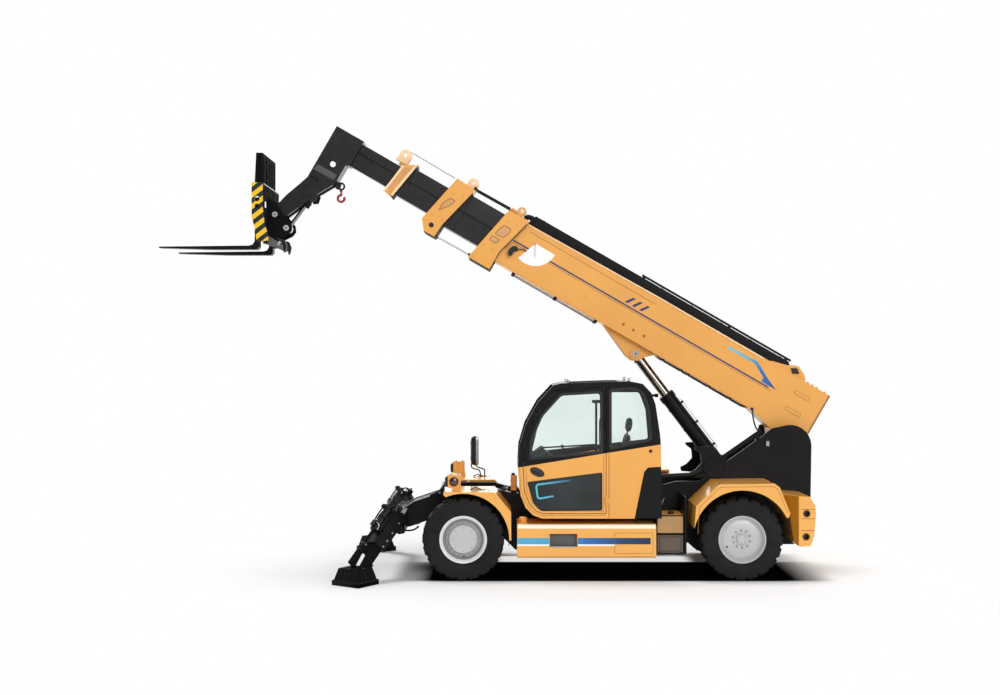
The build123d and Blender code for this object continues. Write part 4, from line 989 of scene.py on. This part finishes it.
# ---- front fenders, lamps, mirror ----
for side, name in ((1, "left"), (-1, "right")):
    def across_lamp(x, y, z, side=side):
        return at(x, side * y, z)

    lamp = Piece(f"front_lamp_{name}", "chassis", "orange_paint", ORANGE,
                 place=across_lamp)
    # an L of folded plate: foot, back and top, around the lamp's body; a black bowl and a lens facing forward
    for outline, radius, y0, y1, mat in (
            ([(0.048, 1.2), (0.203, 1.2), (0.203, 1.35), (0.19, 1.368), (0.075, 1.368), (0.048, 1.34)], 0.008, 0.925,
             1.075, ORANGE),
            ([(0.036, 1.196), (0.048, 1.196), (0.06, 1.352), (0.212, 1.362), (0.212, 1.373), (0.04, 1.373)], 0.004,
             0.915, 1.083, ORANGE),
            ([(0.02, 1.157), (0.152, 1.157), (0.152, 1.17), (0.14, 1.198), (0.034, 1.198)], 0.006, 0.92, 1.078, ORANGE),
            ([(0.19, 1.208), (0.238, 1.216), (0.24, 1.336), (0.19, 1.352)], 0.008, 0.93, 1.07, CAP),
            ([(0.234, 1.226), (0.242, 1.23), (0.243, 1.325), (0.234, 1.33)], 0.003, 0.942, 1.058, LENS)):
        lamp.prism(rounded(outline, radius), y0, y1, mat)
    # side lamp: a dark red lens in a black bezel
    lamp.turned([(0.026, 0.0), (0.059, 0.0), (0.06, 0.01), (0.054, 0.016), (0.049, 0.01), (0.026, 0.01)],
                (0.125, 1.079, 1.283), Y * side, 32, CAP)
    lamp.turned([(0, 0.0), (0.05, 0.0), (0.05, 0.012), (0.038, 0.019), (0.018, 0.0225), (0, 0.0235)],
                (0.125, 1.081, 1.283), Y * side, 32, RED_LENS)
    for k in range(5):
        lamp.box(0.241, 0.2445, 0.95 + 0.022 * k, 0.955 + 0.022 * k, 1.235, 1.322, CAP)
    for x in (0.07, 0.16):
        lamp.bolt((x, 0.945, 1.372), Z, 0.009, 0.012, STEEL)
        lamp.bolt((x, 1.055, 1.372), Z, 0.009, 0.012, STEEL)
    for x in (0.035, 0.14):
        lamp.bolt((x, 0.935, 1.197), Z, 0.007, 0.008, STEEL)
        lamp.bolt((x, 1.065, 1.197), Z, 0.007, 0.008, STEEL)
    lamp.done(0.0025, replaces=["headlamps"] if side > 0 else ())

    guard = Piece(f"front_fender_trim_{name}", "chassis", "dark_plastic", SEAL, place=across_lamp)
    # rubber edge inside the arch
    guard.line([(-x, z) for x, z in arc(0, TYRE_R, 0.6, -8, 100, 18)], 0.01, 1.13, 1.15)
    # small brackets and their bolts on the top
    for x in (-0.11, -0.21, -0.33):
        guard.bolt((x, 0.985, 1.157), Z, 0.01, 0.009, STEEL)
    guard.prism(rounded([(-0.15, 1.157), (-0.29, 1.157), (-0.29, 1.166), (-0.15, 1.166)], 0.003), 0.9, 0.925, SEAM)
    guard.tube([(-0.09, 0.9, 1.16), (-0.15, 0.905, 1.185), (-0.23, 0.895, 1.165)], 0.007, 8)
    guard.done(0.0015, 1)

MIRROR_Y = -1.0
mirror = Piece("side_mirror", "chassis", "dark_plastic", PLASTIC,
               place=lambda x, y, z: at(x, MIRROR_Y + y, z))
# black shell, then its steel back: x, half width, lowest and highest
for shells, mat in (([(-0.05, 0.06, 1.37, 1.68), (-0.062, 0.09, 1.33, 1.72), (-0.1, 0.1, 1.316, 1.742),
                      (-0.118, 0.1, 1.314, 1.744), (-0.13, 0.099, 1.315, 1.743)], CAP),
                    ([(-0.128, 0.0975, 1.3165, 1.7415), (-0.16, 0.094, 1.32, 1.738), (-0.167, 0.088, 1.326, 1.732)],
                     STEEL)):
    mirror.skin([[(x, y, z) for y, z in rounded(rect(-half, half, low, high), 0.045, 5)]
                 for x, half, low, high in shells], mat)
for path, y in (([(-0.2, 1.15), (-0.182, 1.222), (-0.16, 1.245), (-0.088, 1.262), (-0.062, 1.29), (-0.06, 1.34)],
                 -0.025),
                ([(-0.255, 1.15), (-0.255, 1.238), (-0.235, 1.262), (-0.15, 1.29), (-0.12, 1.33)], 0.025)):
    mirror.tube([(x, y, z) for x, z in path], 0.0095, 10, CAP)
    mirror.disc((path[0][0], y, 1.157), Z, 0.022, 0.01, 16, CAP)
for z in (1.42, 1.64):
    mirror.box(-0.06, -0.045, -0.02, 0.02, z - 0.02, z + 0.02, CAP)
mirror.done(0.003, replaces=["mirror"])

pipe = Piece("front_pipe", "chassis", "black_steel", BLACK)
pipe.tube([(-0.44, 0.3, 1.105), (-0.54, 0.302, 1.102), (-0.68, 0.308, 1.1)], 0.012, 10)
pipe.tube([(-0.52, 0.3, 1.06), (-0.52, 0.3, 1.13)], 0.01, 10, CAP)
pipe.turned(rect(0, 0.02, -0.02, 0.02), (-0.52, 0.3, 1.103), X, 6, CAP)
pipe.tube([(-0.545, 0.305, 1.075), (-0.552, 0.305, 1.145)], 0.006, 8, STEEL)
pipe.done(0.0015, 1)

# ---- nose and outriggers ----
FOOT, HEAD = at(1.36, 1.45, 0.155), at(0.9, 1.0, 0.815)
LEG = (HEAD - FOOT).normalized()
LEG_X = Vector((-LEG.y, LEG.x, 0)).normalized()
LEG_Y = LEG.cross(LEG_X)
PAD_TURN = radians(-35)
PAD_X, PAD_Y = Vector((cos(PAD_TURN), sin(PAD_TURN), 0)), Vector((-sin(PAD_TURN), cos(PAD_TURN), 0))
JACK_Y = 0.165  # the jack's axis, outside the leg
for side, name in ((1, "left"), (-1, "right")):
    def on_side(v, side=side):
        return Vector((v.x, v.y * side, v.z))

    def on_leg(x, y, s):
        return on_side(FOOT + LEG_X * x + LEG_Y * y + LEG * s)

    up, over, face = on_side(LEG), on_side(LEG_X), on_side(LEG_Y)

    def slab(piece, x0, x1, y0, y1, s0, s1):
        piece.skin([[on_leg(x, y, s) for x, y in rect(x0, x1, y0, y1)] for s in (s0, s1)])

    jack = Piece(f"outrigger_fittings_{name}", "chassis", "black_steel", BLACK, place=on_leg)
    jack.turned([(0.03, 0), (0.052, 0), (0.054, 0.006), (0.054, 0.04), (0.048, 0.048), (0.03, 0.048)],
                (0, JACK_Y, 0.566), up)
    jack.turned([(0, 0), (0.052, 0), (0.052, 0.02), (0.046, 0.03), (0, 0.03)], (0, JACK_Y, 0.915), up)
    jack.turned([(0.0445, 0), (0.048, 0.002), (0.048, 0.018), (0.0445, 0.02)], (0, JACK_Y, 0.76), up)
    for x in (-0.07, 0.07):
        jack.turned(rect(0.014, 0.036, -0.018, 0.018), (x, 0.06, 1.005), over, 24)
        jack.turned(rect(0, 0.014, -0.026, 0.026), (x, 0.06, 1.005), over, 16, STEEL)
    jack.turned(rect(0.014, 0.036, -0.018, 0.018), (0, 0.235, 0.9), over, 24)
    jack.ring((0, 0.06, 1.03), over, 0.026, 0.008)
    jack.ring((-0.07, 0.08, 1.035), face, 0.022, 0.007)
    # ribs and plates round the housing
    for s in (0.42, 0.6, 0.76, 0.945):
        for x0, x1, y0, y1 in ((-0.11, -0.0995, -0.11, 0.104), (0.0995, 0.11, -0.11, 0.104),
                               (-0.11, 0.11, -0.11, -0.0995), (-0.11, 0.11, 0.0995, 0.104)):
            slab(jack, x0, x1, y0, y1, s, s + 0.016)
    slab(jack, -0.08, -0.066, 0.098, 0.135, 0.58, 0.93)
    slab(jack, 0.066, 0.08, 0.098, 0.135, 0.58, 0.93)
    for s in (0.47, 0.56, 0.69, 0.85):
        jack.bolt((-0.106, -0.04, s), -over, 0.01, 0.01, STEEL)
        jack.bolt((0.106, -0.04, s), over, 0.01, 0.01, STEEL)
    # valve block and hoses on the jack
    slab(jack, -0.035, 0.035, 0.2, 0.24, 0.6, 0.68)
    jack.tube([(-0.02, 0.225, 0.68), (-0.02, 0.232, 0.78), (-0.03, 0.21, 0.88), (-0.06, 0.15, 0.99),
               (-0.08, 0.03, 1.04)],
              0.01, 10, RUBBER)
    jack.tube([(0.02, 0.225, 0.68), (0.02, 0.235, 0.8), (0.04, 0.205, 0.93), (0.07, 0.12, 1.02)], 0.01, 10, RUBBER)
    for x in (-0.02, 0.02):
        jack.turned(rect(0, 0.014, 0, 0.02), (x, 0.225, 0.675), up, 6, STEEL)
    # polished sleeves on the jack, and the bright unions at its lower end
    for s0, s1 in ((0.616, 0.756), (0.784, 0.912)):
        jack.turned([(0.044, 0), (0.0463, 0.002), (0.0463, s1 - s0 - 0.002), (0.044, s1 - s0)], (0, JACK_Y, s0), up,
                    32, GLOSS)
    for x in SIDES:
        jack.turned(rect(0, 0.015, 0, 0.02), (x * 0.048, JACK_Y, 0.59), over * x, 6, STEEL)
        jack.tube([(x * 0.064, JACK_Y, 0.59), (x * 0.072, 0.176, 0.625), (x * 0.06, 0.2, 0.65),
                   (x * 0.034, 0.215, 0.655)],
                  0.007, 10, STEEL)
    # hose under the beam's end
    jack.tube([at(x, side * y, z) for x, y, z in ((0.87, 0.52, 0.64), (0.845, 0.445, 0.568), (0.765, 0.37, 0.545),
                                                  (0.69, 0.295, 0.55), (0.64, 0.22, 0.58))], 0.012, 10, RUBBER)
    jack.done(0.0025, 1)

    pad = Piece(f"outrigger_pad_{name}", f"outrigger_{name}", "black_steel", BLACK, place=on_leg)
    for s in (0.235, 0.3):
        slab(pad, -0.04, 0.04, 0.106, 0.19, s, s + 0.012)
    pad.turned([(0, -0.048), (0.026, -0.048), (0.03, -0.044), (0.03, 0.044), (0.026, 0.048), (0, 0.048)],
               (0, JACK_Y, 0.335), over, 24)
    pad.turned(rect(0, 0.013, -0.056, 0.056), (0, JACK_Y, 0.335), over, 16, STEEL)
    pad.turned(rect(0, 0.024, -0.1, 0.1), (0, 0, 0.06), over, 20, STEEL)

    def on_pad(u, v, z=0):
        return on_side(at(1.375, 1.432, z) + PAD_X * u + PAD_Y * v)

    # the pad's turned-up rim and its ribs
    corners = rect(-0.225, 0.225, -0.2, 0.2)
    for k, (u0, v0) in enumerate(corners):
        u1, v1 = corners[(k + 1) % 4]
        a, b = on_pad(u0, v0), on_pad(u1, v1)
        inner = [on_pad(u1 * 0.955, v1 * 0.955), on_pad(u0 * 0.955, v0 * 0.955)]
        pad.skin([[Vector((p.x, p.y, z)) for p in (a, b, *inner)] for z in (0.012, 0.066)])
        half = (b - a).normalized() * 0.008
        for part in (0.2, 0.4, 0.6, 0.8):
            low = a.lerp(b, part)
            inward = (on_pad(0, 0) - low) * (0.13 if k % 2 == 0 else 0.11) * 2.1
            rib = [low + Z * 0.05, low + inward + Z * 0.05, low + inward + Z * 0.205]
            pad.skin([[p + half * way for p in rib] for way in (-1, 1)])
    pad.done(0.0025, 1)

nose = Piece("nose_fittings", "chassis", "black_steel", BLACK)
for side in SIDES:
    # edge strips along the nose's top, and its side plates
    nose.prism([(0.345, 1.046), (0.7, 0.927), (0.856, 0.823), (0.85, 0.806), (0.694, 0.908), (0.34, 1.026)],
               side * 0.233,
               side * 0.262)
    nose.prism(rounded([(0.42, 0.96), (0.66, 0.88), (0.78, 0.79), (0.78, 0.64), (0.56, 0.7), (0.42, 0.78)], 0.04),
               side * 0.233, side * 0.24)
    nose.disc((0.9, side * 0.5, 0.822), Z, 0.03, 0.02, 20, GREY)
# hose from the nose up to the left lamp
nose.tube([(0.48, 0.215, 1.002), (0.38, 0.26, 1.05), (0.32, 0.55, 1.12), (0.262, 0.8, 1.2), (0.235, 0.93, 1.262)],
          0.015,
          10, RUBBER)
for y in (-0.16, 0, 0.16):
    nose.bolt((0.6, y, 0.951), (0.32, 0, 1), 0.014, 0.012, STEEL)
nose.ring((0.985, 0, 0.7), Y, 0.05, 0.014, BLACK, 28)
nose.disc((0.975, 0, 0.7), X, 0.03, 0.012, 20)
nose.done(0.003, 1)

# ---- boom head: doubler, pins, hook; carriage fittings ----
HEAD_Y = 0.15
head = boom_piece("head_fittings", BOOM_BLACK, body="boom_head", slot="black_steel")
head.both([(7.56, 0.132), (7.262, 0.136), (7.262, 0.05), (7.583, 0.044)], HEAD_Y - 0.001, HEAD_Y + 0.005, SATIN)
head.discs(7.378, HEAD_Y + 0.004, 0.232, 0.04, 0.034, 28, WHITE)
for side in SIDES:
    head.turned(rect(0.041, 0.062, 0, 0.006), (7.378, side * (HEAD_Y - 0.001), 0.232), Y * side, 28)
for u in (7.538, 7.473):
    head.discs(u, HEAD_Y - 0.001, -0.06, 0.017, 0.003, 16, MATTE)
# the side plates of the ram's seat, which stand a little proud of the jib
head.both([(7.545, -0.205), (7.505, -0.245), (7.395, -0.375), (7.33, -0.33), (7.35, -0.235)], HEAD_Y - 0.001,
          HEAD_Y + 0.008)
head.prism([(7.235, -0.02), (7.245, 0.05), (7.19, 0.075), (7.165, 0.062), (7.15, 0.01), (7.18, -0.035)], -0.03, 0.03)
head.done(0.003)

# the hook hangs from its ring: x, and how far below the ring
tackle = Piece("hook_tackle", "boom_head", "red_paint", RED, place=lambda x, drop: at(1.73 + x, 0, 5.281 - drop))
tackle.ring((0, 0), Y, 0.044, 0.014, CAP, 28, 10)
tackle.tube([(0, 0.052), (0, 0.08)], 0.02)
tackle.tube([(0, 0.075), (0, 0.118)], 0.013)
bowl = [(x, 0.168 - z) for x, z in arc(0, 0, 0.046, 95, -205, 15)]
tackle.tube([(0, 0.105), (-0.006, 0.121), *bowl], 0.018)
tackle.done(replaces=["hook"])

claws = Piece("carriage_fittings", "carriage", "black_steel", BLACK)
for pin in (boom(7.718, 0, -0.766), boom(7.49, 0, -0.849)):
    for side in SIDES:
        for reach, radius, thick, steps, mat in ((0.205, 0.062, 0.008, 8, BLACK), (0.213, 0.04, 0.014, 8, PIN),
                                                 (0.227, 0.013, 0.003, 16, SATIN)):
            claws.disc(pin + Y * side * reach, Y * side, radius, thick, steps, mat)
# a painted highlight along the back plate's upper edge
claws.box(2.694, 2.7005, -0.618, 0.618, 5.233, 5.2505, PIN)
# the latch under the carriage: a grey bracket, its hook and the spring bolt
claws.both([(2.7, 4.575), (2.622, 4.529), (2.5, 4.44), (2.5, 4.395), (2.54, 4.388), (2.663, 4.44), (2.78, 4.47)], 0.215,
           0.245, GREY)
claws.both([(2.6, 4.56), (2.48, 4.52), (2.45, 4.44), (2.47, 4.35), (2.495, 4.345), (2.5, 4.43), (2.56, 4.45)], 0.18,
           0.214, CAP)
for side in SIDES:
    claws.bolt((2.56, side * 0.245, 4.46), Y * side, 0.014, 0.012, PIN)
claws.tube([(2.54, -0.3, 4.48), (2.54, 0.3, 4.48)], 0.016, 12, PIN)
claws.done(0.002)

# ---- lift ram, tower, counterweight and the machine's rear ----
LIFT_FOOT = at(-3.5, 0, 1.45)
LIFT_WAY = (LIFT_PIN - LIFT_FOOT).normalized()
LIFT_OUT = Vector((LIFT_WAY.z, 0, -LIFT_WAY.x))
RAM_END = (LIFT_PIN - LIFT_FOOT).length


def ram(s, y, w):
    """A point along the lift ram from its foot, across, and towards the machine's front from its axis."""
    return LIFT_FOOT + LIFT_WAY * s + Y * y + LIFT_OUT * w


barrel = Piece("lift_barrel_shell", "lift_barrel", "black_steel", BLACK, place=ram)
barrel.turned([(0, 0), (0.094, 0), (0.102, 0.01), (0.102, 1.088), (0.112, 1.092), (0.114, 1.17), (0.108, 1.18),
               (0.086, 1.18), (0.08, 1.172), (0.078, 1.16), (0.078, 0.112), (0, 0.112)], LIFT_FOOT, LIFT_WAY, 56)
barrel.turned([(0, -0.08), (0.11, -0.08), (0.117, -0.074), (0.117, 0.074), (0.11, 0.08), (0, 0.08)], LIFT_FOOT, Y, 48)
# the thin pipe along the barrel in white, a painted highlight
barrel.tube([(0.15, 0, -0.098), (0.175, 0, -0.13), (1.0, 0, -0.13), (1.035, 0, -0.098)], 0.008, 12, WHITE, False)
for s in (0.23, 0.62, 0.96):
    barrel.turned(rect(0.1, 0.108, -0.014, 0.014), (s, 0, 0), LIFT_WAY, 40)
    barrel.box(s - 0.014, s + 0.014, -0.022, 0.022, -0.138, -0.095)
for k in range(8):
    a = radians(45 * k + 20)
    barrel.bolt((1.178, 0.098 * sin(a), 0.098 * cos(a)), LIFT_WAY, 0.007, 0.008, STEEL)
barrel.done(0.002, replaces=["lift_barrel"])

rod = Piece("lift_rod_shell", "lift_rod", "chrome", CHROME)
rod.turned([(0, 0.58), (0.066, 0.58), (0.0715, 0.586), (0.0715, RAM_END - 0.09), (0, RAM_END - 0.09)], LIFT_FOOT,
           LIFT_WAY,
           56)
rod.turned([(0, RAM_END - 0.112), (0.078, RAM_END - 0.112), (0.08, RAM_END - 0.108), (0.066, RAM_END - 0.06),
            (0, RAM_END - 0.06)], LIFT_FOOT, LIFT_WAY, 40, CAP)
rod.turned([(0.04, -0.065), (0.09, -0.065), (0.094, -0.061), (0.094, 0.061), (0.09, 0.065), (0.04, 0.065)], LIFT_PIN, Y,
           48, CAP)
rod.done(0.001, replaces=["lift_rod"])

tower = Piece("tower_fittings", "chassis", "black_steel", BLACK)
for side in SIDES:
    y, plate_y = side * 0.4495, side * 0.4555
    tower.turned([(0, 0), (0.138, 0), (0.138, 0.006), (0.128, 0.014), (0.06, 0.014), (0.056, 0.02), (0, 0.02)],
                 (-3.38, y, 1.41), Y * side, 48)
    tower.turned(rect(0.139, 0.146, 0, 0.003), (-3.38, y, 1.41), Y * side, 48, MATTE)
    tower.box(-4.135, -4.095, y, plate_y, 1.7, 1.77, STEEL)
    for z in (1.705, 1.765):
        tower.bolt((-4.115, plate_y, z), Y * side, 0.004, 0.004, CAP)
tower.done(0.003)

REAR_X = -4.6
weight = Piece("counterweight_fittings", "chassis", "black_steel", CAP)
for side in SIDES:
    for x, z in ((-4.481, 0.872), (-4.473, 0.57)):
        weight.disc((x, side * 1.0895, z), Y * side, 0.0385, 0.004, 28)
        weight.turned(rect(0.0365, 0.0387, 0, 0.058), (x, side * 1.09, z), Y * side, 28)
        # a darker ring round each hole's mouth, a painted shade
        weight.turned([(0.0395, 0), (0.052, 0), (0.05, 0.003), (0.0395, 0.003)], (x, side * 1.149, z), Y * side, 28,
                      DEEP)
    for z in (0.929, 0.807, 0.652):
        weight.box(-4.59, -4.41, side * 1.149, side * 1.1508, z - 0.004, z + 0.004, SEAM)
    # the bevelled front edge, in its shade
    weight.skin([[(x + 0.435 * out, side * (1.015 - (4.1 + x) * 0.4833 + 0.9 * out), z)
                  for x, z in ((-4.198, 1.113), (-4.269, 1.107), (-4.378, 1.1), (-4.378, 0.45), (-4.327, 0.483),
                               (-4.27, 0.872))] for out in (-0.001, 0.0015)], DEEP)
    # tail lamp in the rear face: a black bowl with a red and a clear lens
    y0, y1 = sorted((side * 0.7, side * 0.96))
    bowl = rounded(rect(y0, y1, 0.74, 0.85), 0.015)
    weight.skin([[(x, y, z) for y, z in bowl] for x in (REAR_X - 0.004, REAR_X + 0.012)], PLASTIC)
    for part, mat in ((0.12, RED_LENS), (0.5, RED_LENS), (0.86, LENS)):
        weight.disc((REAR_X - 0.003, y0 + (y1 - y0) * part, 0.795), -X, 0.032, 0.006, 24, mat)
    weight.box(REAR_X, -4.48, side * 0.108, side * 0.132, 0.56, 0.7, PLASTIC)
weight.disc((-4.56, 0, 0.52), Z, 0.022, 0.24, 24, STEEL)
weight.done(0.002)

# thin lips round the rear arches, and bolts on the fenders
arches = Piece("rear_fender_trims", "chassis", "dark_plastic", SEAL)
for side in SIDES:
    arches.line([(-3.052, 0.61), (-3.074, 0.962), (-3.33, 1.208), (-3.36, 1.222), (-4.04, 1.232), (-4.092, 1.194),
                 (-4.225, 0.885)], 0.006, side * 1.199, side * 1.2008, SEAM)
    for x, z in ((-3.36, 1.258), (-4.035, 1.268)):
        arches.bolt((x, side * 1.06, z), Z, 0.01, 0.01)
arches.done(0.001)

# ---- seat: a filled cushion, back and headrest ----
SEAT_Y = 0.7
BACK_UP, BACK_OUT = Vector((-0.143, 0, 0.99)), Vector((0.99, 0, 0.143))


def seat_at(x, y, z):
    return at(x, SEAT_Y + y, z)


def bowed(half_width, half_thick, side_rise, steps=44):
    """A soft section: flat below, dished between two raised sides above. Gives (across, up) points."""
    points = []
    for i in range(steps):
        c, s = cos(2 * pi * i / steps), sin(2 * pi * i / steps)
        y = half_width * (abs(c) ** 0.42) * (1 if c >= 0 else -1)
        z = half_thick * (abs(s) ** 0.5) * (1 if s >= 0 else -1)
        if s > 0:
            z += side_rise * (abs(y / half_width) ** 3 - 0.45) * s ** 0.5
        points.append((y, z))
    return points


def full_at(length, ends, count=12):
    """Places along a pad with how full it is there, closed softly at both ends."""
    for i in range(count + 1):
        t = sin((-1 + 2 * i / count) * pi / 2)
        yield length * (0.5 + 0.5 * t), max(0.3, (1 - abs(t) ** ends) ** (1 / 2.6))


def pad_mesh():
    pads = Piece("pads", "chassis", "seat_cloth", CLOTH)
    pads.skin([[seat_at(-2.172 + s * 0.95, y * (0.9 + 0.1 * full), 1.248 + z * full) for y,
                z in bowed(0.205, 0.04, 0.03)]
               for s, full in full_at(0.425, 5)])
    back = [(s, full, 0.198 * (1 - 0.16 * (s / 0.552) ** 3) * (0.9 + 0.1 * full)) for s, full in full_at(0.552, 6)]
    pads.skin([[seat_at(-2.108, y, 1.342) + BACK_UP * s + BACK_OUT * (z * full) for y, z in bowed(width, 0.038, 0.026)]
               for s, full, width in back])
    pads.skin([[seat_at(-2.19, y * (0.8 + 0.2 * full), 1.918) + BACK_UP * s + BACK_OUT * (z * full)
                for y, z in bowed(0.096, 0.042, 0.004)] for s, full in full_at(0.182, 3)])
    bmesh.ops.recalc_face_normals(pads.bm, faces=pads.bm.faces)
    mesh = bpy.data.meshes.new("pads")
    pads.bm.to_mesh(mesh)
    pads.bm.free()
    return mesh


def filled(mesh, voxel, pressure, cap):
    """The shell swollen like a stuffed cover by Cloth, each point by cap at most."""
    obj = bpy.data.objects.new("pads", mesh)
    scene.collection.objects.link(obj)
    remesh = obj.modifiers.new("voxels", "REMESH")
    remesh.mode, remesh.voxel_size = "VOXEL", voxel
    graph = bpy.context.evaluated_depsgraph_get()
    shell = bpy.data.meshes.new_from_object(obj.evaluated_get(graph))
    obj.modifiers.clear()
    obj.data = shell
    cloth = obj.modifiers.new("filling", "CLOTH").settings
    cloth.quality = 5
    cloth.use_pressure, cloth.uniform_pressure_force = True, pressure
    cloth.effector_weights.gravity = 0
    for number in range(1, 21):
        scene.frame_set(number)
    graph = bpy.context.evaluated_depsgraph_get()
    swollen = [v.co.copy() for v in obj.evaluated_get(graph).data.vertices]
    obj.modifiers.clear()
    scene.frame_set(1)
    for vertex, end in zip(shell.vertices, swollen):
        move = end - vertex.co
        vertex.co += move * min(1, cap / max(move.length, 1e-9))
    bpy.data.objects.remove(obj)
    return shell


shell = pad_mesh()
shell = filled(shell, 0.009, 4.0, 0.007)
seat = Piece("seat_pads", "chassis", "seat_cloth", CLOTH)
seat.bm.from_mesh(shell)
bpy.data.meshes.remove(shell)
seat_surface = BVHTree.FromBMesh(seat.bm)
seat.done(replaces=["seat"], level=1)


def on_seat(points, inward):
    """Points laid onto the pads' surface from outside, along inward."""
    hits = [seat_surface.ray_cast(seat_at(*p) - inward * 0.3, inward)[0] for p in points]
    return [hit - inward * 0.0008 for hit in hits if hit]


seams = Piece("seat_seams", "chassis", "seat_cloth", SEAL, place=seat_at)
for y in (-0.115, 0.115):
    seams.tube(on_seat([(-2.15 + 0.03 * k, y, 1.25) for k in range(12)], -Z), 0.0028, 8, SEAL, False)
    seams.tube(on_seat([(-2.11 - 0.0057 * k, y, 1.37 + 0.04 * k) for k in range(12)], -BACK_OUT), 0.0028, 8, SEAL,
               False)
CROSSWAYS = [-0.112 + 0.028 * k for k in range(9)]
for x in (-2.05, -1.93):
    seams.tube(on_seat([(x, y, 1.25) for y in CROSSWAYS], -Z), 0.0022, 8, SEAL, False)
for s in (0.14, 0.29, 0.44):
    seams.tube(on_seat([(-2.108 - 0.143 * s, y, 1.342 + s) for y in CROSSWAYS], -BACK_OUT), 0.0022, 8, SEAL, False)
for y in (-0.045, 0.045):
    seams.tube([(-2.178, y, 1.83), (-2.186, y, 1.945)], 0.006, 10, BLACK)
seams.prism(rounded([(-2.185, 1.3), (-2.15, 1.3), (-2.19, 1.6), (-2.21, 1.6)], 0.01), -0.15, 0.15, BLACK)
seams.done(0.0015)

# ---- camera, light and floor ----
camera = bpy.data.objects.new("camera", bpy.data.cameras.new("camera"))
scene.collection.objects.link(camera)
camera.location = (-0.0238, 18.3, 3.04)
camera.rotation_euler = (radians(90), 0, radians(180))
camera.data.lens, camera.data.sensor_width = 47.34, 36
scene.camera = camera

for name, towards, strength, spread in (("key", (-0.15, 0.12, -1), 1.5, 22), ("side", (0.3, -1, -0.45), 1.4, 35),
                                        ("back", (0.3, 1, -0.6), 0.35, 40)):
    sun = bpy.data.lights.new(name, "SUN")
    sun.energy, sun.angle = strength, radians(spread)
    obj = bpy.data.objects.new(name, sun)
    obj.rotation_euler = Vector(towards).to_track_quat("-Z", "Y").to_euler()
    scene.collection.objects.link(obj)

scene.world = bpy.data.worlds.new("studio")
sky = Tree(scene.world)
WHITE_LIGHT = (1, 1, 1, 1)
sky.put(sky.nodes["Background"], {"Color": WHITE_LIGHT, "Strength": 0.46})
seen = sky.node("MixShader", {0: sky.seen_directly(), 1: sky.nodes["Background"].outputs[0],
                              2: sky.node("Background", {"Color": WHITE_LIGHT, "Strength": 1.0})})
# reflections see a bright wall behind and above the machine, and a dim studio on its left
wall = sky.node("MapRange", {"From Min": -0.35, "From Max": 0.75, "To Min": 0.16, "To Max": 1.5,
                             "Value": sky.along((0, -0.94, 0.34), "Generated")}, "Result",
                interpolation_type="SMOOTHSTEP")
rays = sky.node("LightPath").node.outputs
mirrored = sky.math("SUBTRACT", rays["Is Glossy Ray"], rays["Is Transmission Ray"], use_clamp=True)
sheen = sky.node("Background", {"Color": WHITE_LIGHT, "Strength": wall})
sky.put(sky.nodes["World Output"], {"Surface": sky.node("MixShader", {0: mirrored, 1: seen, 2: sheen})})

floor_mesh = bpy.data.meshes.new("floor")
reach = 40
floor_mesh.from_pydata([(x, y, 0) for x, y in rect(-reach, reach, -reach, reach)], [], [(0, 1, 2, 3)])
floor = bpy.data.objects.new("floor", floor_mesh)
scene.collection.objects.link(floor)
floor.location.z = -0.001
t = Paint("floor")
apart = t.node("SeparateXYZ", {0: t.node("TexCoord", out="Object")}).node.outputs


def within(axis_name, centre_at, half, soft):
    """1 near a line across the floor, 0 farther than half from it."""
    away = t.math("ABSOLUTE", t.math("SUBTRACT", apart[axis_name], centre_at))
    return t.node("MapRange", {"From Min": half - soft / 2, "From Max": half + soft / 2, "To Min": 1.0, "To Max": 0.0,
                               "Value": away}, "Result", interpolation_type="SMOOTHSTEP")


# a painted shadow darkens the floor in the machine's own shade, and the floor fades into the white studio round it
shade = t.math("MULTIPLY", within("X", AXLE_X - 1.95, 2.55, 1.0), within("Y", 0.42, 0.76, 0.16))
t.set(Base_Color=t.ramp(shade, (0.0, grey(0.88)), (0.75, grey(0.002))), Roughness=0.7, Specular_IOR_Level=0.0)
near = t.math("MULTIPLY", within("X", AXLE_X - 1.35, 4.4, 2.6), within("Y", 0.0, 2.7, 2.4))
# painted light: the floor is brightened under the far side box, where light falls through
gap = t.math("MULTIPLY", within("X", AXLE_X - 1.82, 1.36, 0.2), within("Y", -0.61, 0.25, 0.06))
near = t.math("MULTIPLY", near, t.math("SUBTRACT", 1.0, t.math("MULTIPLY", gap, 0.7)))
paint = t.shader.outputs[0]
blend = t.node("MixShader", {0: t.math("SUBTRACT", 1.0, near), 1: paint, 2: t.node("Emission", {"Strength": 1.0})})
direct = t.node("MixShader", {0: t.seen_directly(), 1: paint, 2: blend})
t.put(t.nodes["Material Output"], {"Surface": direct})
floor_mesh.materials.append(t.mat)
